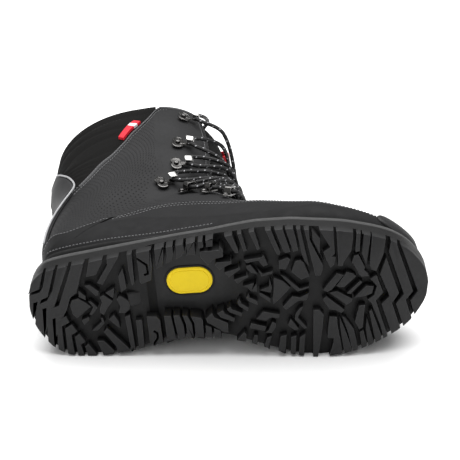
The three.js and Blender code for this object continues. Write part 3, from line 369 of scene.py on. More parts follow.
@dataclass(frozen=True)
class Grid:
    """A closed sheet between two depths of the upper's surface."""

    at: Callable[[Array, Array], tuple[Array, Array]]
    outer: Callable[[Array, Array], Array]
    inner: Callable[[Array, Array], Array]
    rows: Array
    columns: Array
    ring: bool = False
    cap: bool = False
    shade: Callable[[Array, Array], Array] | None = None

    def build(self) -> Solid:
        """The closed mesh, outer layer first, row by row."""
        u, v = np.meshgrid(self.rows, self.columns, indexing="ij")
        s, theta = self.at(u, v)
        layers = [surface(s, theta, f(u, v)) for f in (self.outer, self.inner)]
        return closed_grid(layers, self.ring, self.cap, None if self.shade is None else self.shade(u, v))


def closed_grid(layers: Sequence[Array], ring: bool, cap: bool, shade: Array | None = None) -> Solid:
    """Joins two layers of points into a closed mesh.

    Args:
        layers: the outer and the inner layer, each with rows, columns and three coordinates.
        ring: whether the last column is the first again.
        cap: whether the first row is closed by a point instead of a wall.
        shade: a value for each point of a layer.

    Returns:
        The closed mesh.
    """
    count_u, full_v = layers[0].shape[:2]
    count_v = full_v - 1 if ring else full_v
    size = count_u * count_v
    points = np.concatenate([layer[:, :count_v].reshape(-1, 3) for layer in layers])
    faces: list[tuple[int, ...]] = []
    corners: list[tuple[tuple[float, float], ...]] = []
    across = np.linalg.norm(np.diff(layers[0], axis=1), axis=2)
    x = np.concatenate([np.zeros((count_u, 1)), np.cumsum(across, 1)], 1)
    x -= x[:, full_v // 2][:, None]
    down = np.linalg.norm(np.diff(layers[0], axis=0), axis=2).mean(1)
    y = np.repeat(np.concatenate([[0], np.cumsum(down)])[:, None], full_v, 1)

    def index(side: int, i: int, j: int) -> int:
        """The number of a point."""
        return side * size + i * count_v + j % count_v

    def quad(cells: Sequence[tuple[int, int, int]]) -> None:
        """Adds one face with its corners' places."""
        faces.append(tuple(index(*cell) for cell in cells))
        corners.append(tuple((float(x[i, j]), float(y[i, j])) for _, i, j in cells))

    for i in range(count_u - 1):
        for j in range(full_v - 1):
            for side in (0, 1):
                quad([(side, i, j), (side, i + 1, j), (side, i + 1, j + 1), (side, i, j + 1)])
        if not ring:
            for j in (0, full_v - 1):
                quad([(0, i, j), (1, i, j), (1, i + 1, j), (0, i + 1, j)])
    for i in [count_u - 1] if cap else [0, count_u - 1]:
        for j in range(full_v - 1):
            quad([(0, i, j), (0, i, j + 1), (1, i, j + 1), (1, i, j)])
    if cap:
        for side in (0, 1):
            centre = len(points)
            points = np.concatenate([points, layers[side][:1, :count_v].mean(1)])
            for j in range(full_v - 1):
                faces.append((centre, index(side, 0, j), index(side, 0, j + 1)))
                corners.append(((0.0, 0.0), (float(x[0, j]), 0.0), (float(x[0, j + 1]), 0.0)))
    flat = np.ones((count_u, full_v)) if shade is None else np.broadcast_to(shade, (count_u, full_v))
    values = np.concatenate([flat[:, :count_v].ravel()] * 2)
    return Solid(points, faces, corners, np.concatenate([values, np.ones(len(points) - len(values))]))


def ring_stack(rings: Sequence[Array]) -> Solid:
    """Closes a stack of equal rings of points, with one flat face at each end.

    Args:
        rings: arrays of as many points each.

    Returns:
        The closed mesh.
    """
    stack = np.array(rings)
    levels, count = stack.shape[:2]
    faces: list[tuple[int, ...]] = []
    corners: list[tuple[tuple[float, float], ...]] = []
    around = np.concatenate([[0], np.cumsum(np.linalg.norm(np.diff(stack[0], axis=0), axis=1))])
    closing = float(around[-1] + np.linalg.norm(stack[0, 0] - stack[0, -1]))
    x = [*map(float, around), closing]
    steps = np.linalg.norm(np.diff(stack, axis=0), axis=2).mean(1)
    y = [0.0, *map(float, np.cumsum(steps))]
    for i in range(levels - 1):
        for j in range(count):
            k = (j + 1) % count
            faces.append((i * count + j, i * count + k, (i + 1) * count + k, (i + 1) * count + j))
            corners.append(((x[j], y[i]), (x[j + 1], y[i]), (x[j + 1], y[i + 1]), (x[j], y[i + 1])))
    for level in (0, levels - 1):
        faces.append(tuple(level * count + j for j in range(count)))
        corners.append(tuple((x[j], y[level]) for j in range(count)))
    return Solid(stack.reshape(-1, 3), faces, corners, np.ones(levels * count))


def turning_frames(path: Array) -> tuple[Array, Array, Array]:
    """Frames along a path that don't twist.

    Args:
        path: the path's points.

    Returns:
        Tangents and two directions across them, at each point.
    """
    tangents = np.gradient(path, axis=0)
    tangents /= np.linalg.norm(tangents, axis=1, keepdims=True)
    start = np.eye(3)[np.argmin(np.abs(tangents[0]))]
    sideways = [start - tangents[0] * (start @ tangents[0])]
    for tangent in tangents[1:]:
        turned = sideways[-1] - tangent * (sideways[-1] @ tangent)
        sideways.append(turned / np.linalg.norm(turned))
    first = np.array(sideways)
    first[0] /= np.linalg.norm(first[0])
    return tangents, first, np.cross(tangents, first)


def tube(path: Array, radius: Numbers, sides: int = 12) -> Solid:
    """A round tube along a path, closed at both ends.

    Args:
        path: the points of its middle line.
        radius: one radius, or one for each point.
        sides: how many sides it has.

    Returns:
        The closed mesh.
    """
    _, first, second = turning_frames(path)
    angles = np.arange(sides) / sides * 2 * math.pi
    wide = np.broadcast_to(np.asarray(radius, float), len(path))[:, None, None]
    circle = np.cos(angles)[None, :, None] * first[:, None] + np.sin(angles)[None, :, None] * second[:, None]
    return ring_stack(path[:, None] + wide * circle)


def resampled(path: Array, step: float) -> Array:
    """A path's points again, evenly spaced.

    Args:
        path: the points.
        step: distance between the new points.

    Returns:
        The new points.
    """
    runs = np.concatenate([[0], np.cumsum(np.linalg.norm(np.diff(path, axis=0), axis=1))])
    count = max(2, round(runs[-1] / step) + 1)
    marks = np.linspace(0, runs[-1], count)
    return np.stack([np.interp(marks, runs, path[:, k]) for k in range(3)], -1)


def catmull(points: Array, per_span: int = 12) -> Array:
    """A smooth line through points, by centripetal Catmull-Rom spans.

    Args:
        points: the points to pass through.
        per_span: how many steps each span has.

    Returns:
        The line's points.
    """
    padded = np.concatenate([[2 * points[0] - points[1]], points, [2 * points[-1] - points[-2]]])
    line = []
    for i in range(len(points) - 1):
        p = padded[i : i + 4]
        knots = np.concatenate([[0], np.cumsum(np.linalg.norm(np.diff(p, axis=0), axis=1) ** 0.5)])
        t = np.linspace(knots[1], knots[2], per_span, endpoint=False)[:, None]
        first = [
            ((knots[k + 1] - t) * p[k] + (t - knots[k]) * p[k + 1]) / (knots[k + 1] - knots[k])
            for k in range(3)
        ]
        second = [
            ((knots[k + 2] - t) * first[k] + (t - knots[k]) * first[k + 1]) / (knots[k + 2] - knots[k])
            for k in range(2)
        ]
        line.append(((knots[2] - t) * second[0] + (t - knots[1]) * second[1]) / (knots[2] - knots[1]))
    return np.concatenate([*line, points[-1:]])


def lathe(profile: Sequence[tuple[float, float]], segments: int = 32) -> Solid:
    """A turned piece about its own z axis, with flat ends.

    Args:
        profile: pairs of radius and z from one end to the other.
        segments: how many steps it turns in.

    Returns:
        The closed mesh.
    """
    angles = np.arange(segments) / segments * 2 * math.pi
    circle = np.stack([np.cos(angles), np.sin(angles), np.zeros(segments)], -1)
    return ring_stack([circle * r + np.array([0, 0, z]) for r, z in profile])


@dataclass(frozen=True)
class Thread:
    """A row of sewn stitches, each a short thread that dips at both ends."""

    pitch: float = 3.3
    share: float = 0.78
    radius: float = 0.42
    sides: int = 6

    def row(self, path: Array, normals: Array) -> Solid:
        """Stitches along a line on the surface.

        Args:
            path: the line's points, dense enough to follow.
            normals: directions out of the surface at those points.

        Returns:
            One mesh with every stitch.
        """
        runs = np.concatenate([[0], np.cumsum(np.linalg.norm(np.diff(path, axis=0), axis=1))])
        count = max(1, int(runs[-1] / self.pitch))
        starts = np.arange(count) * self.pitch + self.pitch * (1 - self.share) / 2
        stations = np.array([0, 0.16, 0.5, 0.84, 1])
        widths = np.array([0.35, 0.9, 1, 0.9, 0.35]) * self.radius
        lifts = np.array([-0.9, 0.3, 0.55, 0.3, -0.9]) * self.radius
        marks = starts[:, None] + stations * self.pitch * self.share
        middle = np.stack([np.interp(marks, runs, path[:, k]) for k in range(3)], -1)
        normal = np.stack([np.interp(marks, runs, normals[:, k]) for k in range(3)], -1)
        tangent = middle[:, -1:] - middle[:, :1]
        tangent = tangent / np.linalg.norm(tangent, axis=-1, keepdims=True)
        side = np.cross(tangent, normal)
        angles = np.arange(self.sides) / self.sides * 2 * math.pi
        centres = middle + normal * lifts[:, None]
        rings = centres[:, :, None] + widths[None, :, None, None] * (
            np.cos(angles)[:, None] * side[:, :, None] + np.sin(angles)[:, None] * normal[:, :, None]
        )
        return Solid.joined([ring_stack(stitch) for stitch in rings])


# ---------------------------------------------------------------- finishes


class Value:
    """A number that varies over a surface. Arithmetic on it adds Math nodes."""

    def __init__(self, graph: "Graph", socket: bpy.types.NodeSocket) -> None:
        """Wraps a socket of a graph."""
        self.graph = graph
        self.socket = socket

    def math(self, operation: str, *operands: "Value | float") -> "Value":
        """A Math node.

        Args:
            operation: the node's operation.
            operands: its inputs in order.

        Returns:
            Its result.
        """
        node = self.graph.node("ShaderNodeMath", {"operation": operation}, dict(enumerate(operands)))
        return Value(self.graph, node.outputs[0])

    def __add__(self, other: "Value | float") -> "Value":
        """The sum."""
        return self.math("ADD", self, other)

    def __sub__(self, other: "Value | float") -> "Value":
        """The difference."""
        return self.math("SUBTRACT", self, other)

    def __rsub__(self, other: float) -> "Value":
        """The difference, the other way round."""
        return self.math("SUBTRACT", other, self)

    def __mul__(self, other: "Value | float") -> "Value":
        """The product."""
        return self.math("MULTIPLY", self, other)

    def __truediv__(self, other: "Value | float") -> "Value":
        """The quotient."""
        return self.math("DIVIDE", self, other)

    def __pow__(self, other: float) -> "Value":
        """The power."""
        return self.math("POWER", self, other)

    __radd__ = __add__
    __rmul__ = __mul__

    def fract(self) -> "Value":
        """What is left after the whole number."""
        return self.math("FRACT", self)

    def floor(self) -> "Value":
        """The whole number below."""
        return self.math("FLOOR", self)

    def wave(self, period: float) -> "Value":
        """A wave from -1 to 1 with a period in the value's own unit."""
        return self.math("SINE", self * (2 * math.pi / period))

    def within(self, low: float, high: float) -> "Value":
        """A soft step from 0 at low to 1 at high."""
        settings = {"interpolation_type": "SMOOTHSTEP", "clamp": True}
        inputs = {"Value": self, "From Min": min(low, high), "From Max": max(low, high)}
        if low > high:
            inputs |= {"To Min": 1.0, "To Max": 0.0}
        return Value(self.graph, self.graph.node("ShaderNodeMapRange", settings, inputs).outputs[0])


Colour = tuple[float, float, float]


class Graph:
    """A material and the nodes that make it."""

    def __init__(self, name: str) -> None:
        """Starts a material with an empty node tree."""
        self.material = bpy.data.materials.new(name)
        self.material.use_nodes = True
        self.tree = self.material.node_tree
        self.tree.nodes.clear()
        self.place = self.node("ShaderNodeTexCoord").outputs["Object"]

    def node(self, kind: str, settings: dict | None = None, inputs: dict | None = None) -> bpy.types.Node:
        """Adds a node.

        Args:
            kind: the node's type.
            settings: its own properties.
            inputs: values or links for its sockets, by name or number.

        Returns:
            The node.
        """
        node = self.tree.nodes.new(kind)
        for key, value in (settings or {}).items():
            setattr(node, key, value)
        for key, value in (inputs or {}).items():
            socket = node.inputs[key]
            link = value.socket if isinstance(value, Value) else value
            if isinstance(link, bpy.types.NodeSocket):
                self.tree.links.new(link, socket)
            elif isinstance(link, tuple) and socket.type == "RGBA":
                socket.default_value = (*link, 1)
            else:
                socket.default_value = link
        return node

    def noise(self, size_mm: float, detail: float = 3, contrast: float = 1) -> Value:
        """Soft noise of a grain size in millimetres, from 0 to 1 round 0.5."""
        inputs = {"Vector": self.place, "Scale": 1 / (size_mm * MM), "Detail": detail}
        raw = Value(self, self.node("ShaderNodeTexNoise", None, inputs).outputs[0])
        return raw if contrast == 1 else raw.within(0.5 - 0.5 / contrast, 0.5 + 0.5 / contrast)


    def cells(self, size_mm: float) -> Value:
        """Distance from the middles of scattered cells of a size in millimetres."""
        inputs = {"Vector": self.place, "Scale": 1 / (size_mm * MM)}
        return Value(self, self.node("ShaderNodeTexVoronoi", None, inputs).outputs["Distance"])

    def cloth(self) -> tuple[Value, Value]:
        """The place on the piece's own cloth, in millimetres across and along."""
        place = self.node("ShaderNodeUVMap", {"uv_map": "Cloth"}).outputs[0]
        split = self.node("ShaderNodeSeparateXYZ", None, {0: place})
        return Value(self, split.outputs[0]), Value(self, split.outputs[1])

    def shade(self) -> Value:
        """The piece's own value from 0 to 1, such as where light and shade are painted on rubber or where
        leather is punched.
        """
        node = self.node("ShaderNodeAttribute", {"attribute_name": "shade"})
        return Value(self, node.outputs["Fac"])

    def mixed(
        self, share: Value, first: Colour | bpy.types.NodeSocket, second: Colour
    ) -> bpy.types.NodeSocket:
        """A colour between two."""
        inputs = {"Factor": share, 6: first, 7: second}
        return self.node("ShaderNodeMix", {"data_type": "RGBA"}, inputs).outputs[2]

    def close(
        self,
        colour: Colour | bpy.types.NodeSocket,
        roughness: Value | float,
        height: Value | None = None,
        height_mm: float = 0.1,
        **constants: float,
    ) -> bpy.types.Material:
        """Adds the shader and the output.

        Args:
            colour: base colour.
            roughness: roughness.
            height: relief from 0 to 1.
            height_mm: how high the relief is.
            constants: the shader's other sockets, with _ for a space.

        Returns:
            The finished material.
        """
        inputs: dict = {"Base Color": colour, "Roughness": roughness}
        inputs |= {key.replace("_", " "): value for key, value in constants.items()}
        if height is not None:
            relief = {"Strength": 1.0, "Distance": height_mm * MM, "Height": height}
            inputs["Normal"] = self.node("ShaderNodeBump", None, relief).outputs[0]
        shader = self.node("ShaderNodeBsdfPrincipled", None, inputs)
        self.node("ShaderNodeOutputMaterial", None, {"Surface": shader.outputs[0]})
        return self.material


def scaled(colour: Colour, factor: float) -> Colour:
    """A colour made lighter or darker."""
    return tuple(channel * factor for channel in colour)


@dataclass(frozen=True)
class Rubber:
    """Moulded rubber or foam, paler where the piece's shade value is high: painted light and painted shade on
    the tread and the cup, and a paler edge on the toe cap.
    """

    name: str
    colour: Colour
    roughness: float = 0.5
    pebble_mm: float = 0.5
    lit_and_rubbed: float = 1.7
    gloss: float = 0.2

    def material(self) -> bpy.types.Material:
        """Makes the material."""
        graph = Graph(self.name)
        fine = graph.noise(self.pebble_mm, 2)
        cloud = graph.noise(22, 4, 1.6)
        tone = graph.mixed(cloud, scaled(self.colour, 0.85), scaled(self.colour, 1.15))
        # Painted light and shade: the colour goes toward a lighter tone where the piece's shade value is
        # high, which lights the tops and edges of the tread and the cup and leaves their hollows dark.
        painted_light_and_rub = graph.shade() * (0.72 + 0.28 * graph.noise(3, 3, 1.8))
        tone = graph.mixed(painted_light_and_rub, tone, scaled(self.colour, self.lit_and_rubbed))
        roughness = self.roughness + 0.16 * (cloud - 0.5) + 0.1 * (fine - 0.5)
        height = fine * 0.6 + graph.noise(4, 2) * 0.4
        return graph.close(tone, roughness, height, 0.09, Specular_IOR_Level=self.gloss)


class Grain(Enum):
    """How a hide is finished."""

    SMOOTH = "smooth"
    NUBUCK = "nubuck"
    PUNCHED = "punched"


@dataclass(frozen=True)
class Hide:
    """Leather with its grain, creases and, where it is punched, small holes in staggered rows."""

    name: str
    colour: Colour
    grain: Grain
    roughness: float = 0.6
    hole_pitch: float = 4.3
    hole_radius: float = 0.68

    def holes(self, graph: Graph) -> Value:
        """Where the holes are, from 0 to 1."""
        x, y = graph.cloth()
        row = (y / self.hole_pitch).floor()
        across = (x / self.hole_pitch + row * 0.5).fract() - 0.5
        up = (y / self.hole_pitch).fract() - 0.5
        distance = (across * across + up * up) ** 0.5 * self.hole_pitch
        return distance.within(self.hole_radius + 0.25, self.hole_radius - 0.15) * graph.shade()

    def material(self) -> bpy.types.Material:
        """Makes the material."""
        graph = Graph(self.name)
        cloud = graph.noise(30, 4, 1.5)
        tone = graph.mixed(cloud, scaled(self.colour, 0.85), scaled(self.colour, 1.16))
        if self.grain is Grain.NUBUCK:
            nap = graph.noise(0.7, 4)
            brushed = graph.noise(9, 3, 2.2)
            tone = graph.mixed(brushed * 0.5, tone, scaled(self.colour, 1.3))
            tone = graph.mixed(graph.shade() * 0.6, tone, scaled(self.colour, 0.66))
            roughness = self.roughness + 0.12 * (brushed - 0.5)
            return graph.close(tone, roughness, nap, 0.07, Specular_IOR_Level=0.14)
        pores = graph.cells(1.1)
        height = pores * 0.7 + graph.noise(2.6, 3) * 0.5
        roughness = self.roughness + 0.14 * (graph.noise(5, 3) - 0.5)
        if self.grain is Grain.PUNCHED:
            holes = self.holes(graph)
            height = height - holes * 3
            # Painted shade: the punched holes are near black, standing in for the holes and the shade inside
            # them.
            tone = graph.mixed(holes, tone, scaled(self.colour, 0.08))
        return graph.close(tone, roughness, height, 0.1, Specular_IOR_Level=0.16)


@dataclass(frozen=True)
class Weave:
    """Cloth of crossing yarns."""

    name: str
    colour: Colour
    yarn_mm: float = 0.9
    roughness: float = 0.85

    def material(self) -> bpy.types.Material:
        """Makes the material."""
        graph = Graph(self.name)
        x, y = graph.cloth()
        over = x.wave(2 * self.yarn_mm) * y.wave(2 * self.yarn_mm)
        yarn = over * 0.5 + 0.5
        cloud = graph.noise(14, 3, 1.4)
        tone = graph.mixed(yarn, scaled(self.colour, 0.6), scaled(self.colour, 1.3))
        tone = graph.mixed(cloud * 0.4, tone, scaled(self.colour, 0.8))
        height = yarn + graph.noise(0.5, 2) * 0.4
        return graph.close(tone, self.roughness, height, 0.16, Specular_IOR_Level=0.08)


@dataclass(frozen=True)
class Braid:
    """A round braided cord with light flecks at even steps."""

    name: str
    colour: Colour
    fleck: Colour
    around_mm: float
    strands: int = 8
    lay_mm: float = 5.2
    fleck_step_mm: float = 6.4

    def material(self) -> bpy.types.Material:
        """Makes the material."""
        graph = Graph(self.name)
        x, y = graph.cloth()
        turn = x / self.around_mm * (self.strands / 2)
        left = (turn + y / self.lay_mm).wave(1)
        right = (turn - y / self.lay_mm).wave(1)
        plait = left * right * 0.5 + 0.5
        tone = graph.mixed(plait, scaled(self.colour, 0.45), scaled(self.colour, 1.5))
        step = (y / self.fleck_step_mm + x / self.around_mm * 0.5).fract()
        spot = (x / self.around_mm * 3 + y / 17).fract()
        fleck = step.within(0.2, 0.14) * spot.within(0.34, 0.26)
        tone = graph.mixed(fleck, tone, self.fleck)
        return graph.close(tone, 0.6, plait, 0.22, Specular_IOR_Level=0.4)


@dataclass(frozen=True)
class Webbing:
    """A narrow woven band with fine ribs and, where the piece is shaded 0, a pale bar."""

    name: str
    colour: Colour
    bar: Colour

    def material(self) -> bpy.types.Material:
        """Makes the material."""
        graph = Graph(self.name)
        x, y = graph.cloth()
        ribs = x.wave(0.9) * 0.5 + 0.5
        picks = y.wave(0.7) * 0.5 + 0.5
        weave = ribs * 0.6 + picks * 0.4
        tone = graph.mixed(graph.shade().within(0.45, 0.55), self.bar, self.colour)
        tone = graph.mixed((1 - weave) * 0.35, tone, scaled(self.colour, 0.4))
        return graph.close(tone, 0.62, weave, 0.12, Specular_IOR_Level=0.35)


@dataclass(frozen=True)
class Metal:
    """Plated or bare metal with faint wear."""

    name: str
    colour: Colour
    roughness: float

    def material(self) -> bpy.types.Material:
        """Makes the material."""
        graph = Graph(self.name)
        cloud = graph.noise(2.5, 3, 1.6)
        scratch = graph.noise(0.35, 2)
        tone = graph.mixed(cloud, scaled(self.colour, 0.8), scaled(self.colour, 1.15))
        roughness = self.roughness + 0.12 * (cloud - 0.5) + 0.06 * (scratch - 0.5)
        return graph.close(tone, roughness, scratch, 0.012, Metallic=1.0)


@dataclass(frozen=True)
class Yarn:
    """Sewing thread, piping and other plain cord."""

    name: str
    colour: Colour
    roughness: float = 0.6

    def material(self) -> bpy.types.Material:
        """Makes the material."""
        graph = Graph(self.name)
        x, y = graph.cloth()
        twist = (x + y * 0.9).wave(0.8) * 0.5 + 0.5
        tone = graph.mixed(twist, scaled(self.colour, 0.7), scaled(self.colour, 1.15))
        return graph.close(tone, self.roughness, twist, 0.06)


@dataclass(frozen=True)
class Board:
    """Pressed fibre or moulded stiffener, hidden in the boot."""

    name: str
    colour: Colour
    fibre_mm: float = 1.2

    def material(self) -> bpy.types.Material:
        """Makes the material."""
        graph = Graph(self.name)
        fibre = graph.noise(self.fibre_mm, 5, 1.4)
        tone = graph.mixed(fibre, scaled(self.colour, 0.7), scaled(self.colour, 1.15))
        return graph.close(tone, 0.8 + 0.1 * (fibre - 0.5), fibre, 0.1)


LACE_RADIUS = 1.8
FINISHES = {
    # Painted light and shade: the tread's base tone is near black, and its shade value lifts it up to
    # thirteen times for lit tops and edges.
    "outsole": Rubber("tread rubber with painted light", (0.0035, 0.0035, 0.0036), 0.5, 0.5, 13),
    # Painted light and shade: the cup's base tone is near black, and its shade value lifts it up to
    # twenty-six times where the flange and edge are painted lit.
    "midsole": Rubber("cup foam with painted light", (0.003, 0.003, 0.003), 0.62, 0.7, 26, 0.15),
    "bumper": Rubber("toe rubber", (0.016, 0.016, 0.0165), 0.5, 0.6, 1.6),
    "badge": Rubber("badge rubber", (0.82, 0.60, 0.012), 0.5, 0.7, 1.06),
    "nubuck": Hide("waxed nubuck", (0.0125, 0.0125, 0.013), Grain.NUBUCK, 0.7),
    "quarter": Hide("punched leather", (0.019, 0.019, 0.0197), Grain.PUNCHED, 0.66),
    "facing": Hide("smooth leather", (0.018, 0.018, 0.0187), Grain.SMOOTH, 0.62),
    # Painted highlight: the folded edge's pale grey stands in for the light along its roll.
    "binding": Hide("folded edge", (0.06, 0.06, 0.062), Grain.SMOOTH, 0.6),
    "patch": Hide("heel leather", (0.03, 0.03, 0.031), Grain.SMOOTH, 0.55),
    "collar": Weave("collar cloth", (0.0085, 0.0083, 0.0081), 0.75),
    "tongue": Weave("tongue cloth", (0.008, 0.008, 0.008), 0.9),
    "lining": Weave("lining knit", (0.02, 0.021, 0.024), 1.3),
    "footbed": Weave("footbed felt", (0.05, 0.05, 0.055), 1.1),
    "lace": Braid("lace braid", (0.006, 0.006, 0.0065), (0.42, 0.42, 0.44), 2 * math.pi * LACE_RADIUS),
    "thread": Yarn("sewing thread", (0.16, 0.16, 0.165)),
    "dark thread": Yarn("dark thread", (0.01, 0.01, 0.01)),
    "piping": Yarn("piping", (0.4, 0.4, 0.41), 0.5),
    "label": Webbing("red webbing", (0.74, 0.012, 0.03), (0.85, 0.83, 0.83)),
    "gunmetal": Metal("dark nickel", (0.13, 0.127, 0.124), 0.18),
    "steel": Metal("bright steel", (0.40, 0.395, 0.385), 0.24),
    "aglet": Rubber("lace tip", (0.02, 0.02, 0.02), 0.3, 0.4, 1.1),
    "board": Board("fibre board", (0.30, 0.27, 0.22)),
    "stiffener": Board("stiffener", (0.25, 0.24, 0.22), 0.8),
}


@dataclass
class Workshop:
    """Makes the pieces: turns closed meshes into dressed objects on the frame's bodies."""

    placement: Placement
    made: dict[str, bpy.types.Material] = field(default_factory=dict)

    def finish(self, key: str) -> bpy.types.Material:
        """The material of that name, made once."""
        if key not in self.made:
            self.made[key] = FINISHES[key].material()
        return self.made[key]

    def piece(
        self,
        name: str,
        solid: Solid,
        finish: str,
        slot: str,
        replaces: Sequence[str] = (),
        body: str = "boot",
        sharp: float = 36,
    ) -> bpy.types.Object:
        """Makes one piece of the boot.

        Args:
            name: the piece's name.
            solid: its mesh in boot axes.
            finish: its finish.
            slot: the record's material slot; not used.
            replaces: CAD nodes that it stands for.
            body: the body that it rides on.
            sharp: edges that turn by more degrees than this stay crisp.

        Returns:
            The object.
        """
        mesh = bpy.data.meshes.new(name)
        mesh.from_pydata(self.placement(solid.points), [], solid.faces)
        layer = mesh.uv_layers.new(name="Cloth")
        layer.data.foreach_set("uv", np.array([c for face in solid.corners for c in face]).ravel())
        attribute = mesh.attributes.new("shade", "FLOAT", "POINT")
        attribute.data.foreach_set("value", solid.shade.astype(np.float32))
        shell = bmesh.new()
        shell.from_mesh(mesh)
        bmesh.ops.recalc_face_normals(shell, faces=shell.faces)
        shell.to_mesh(mesh)
        shell.free()
        mesh.shade_smooth()
        mesh.set_sharp_from_angle(angle=sharp * DEG)
        mesh.materials.append(self.finish(finish))
        piece = bpy.data.objects.new(name, mesh)
        bpy.context.scene.collection.objects.link(piece)
        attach(piece, body)
        if replaces:
            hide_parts(*replaces)
        log.info("%s: %d faces on %s", name, len(mesh.polygons), body)
        return piece

    def dress(self, nodes: dict[str, bpy.types.Object], name: str, finish: str) -> None:
        """Gives a CAD node its finish."""
        node = nodes[name]
        node.data.materials.clear()
        node.data.materials.append(self.finish(finish))
        log.info("%s keeps its own mesh", name)
# Outline of the sole on its outer and inner side, from the heel tip to the toe tip.
outer_edge = Curve(
    [
        (0, -2), (2, -16), (6, -25), (16, -33.5), (30, -37.5), (50, -40.5), (75, -44), (100, -47.5),
        (122, -50.5), (145, -53), (165, -56), (185, -58), (205, -58), (225, -56), (245, -53), (262, -48),
        (280, -40.5), (295, -30), (306, -16), (311, -6), (313, 5)
    ]
)
inner_edge = Curve(
    [
        (0, 2), (2, 13), (6, 22), (16, 35), (30, 42), (50, 44), (75, 41.5), (100, 36.5), (122, 33),
        (145, 34.5), (165, 39), (185, 47), (205, 54), (225, 57.5), (245, 56), (262, 52.5), (280, 46),
        (295, 38), (306, 26), (311, 17), (313, 5.2)
    ]
)
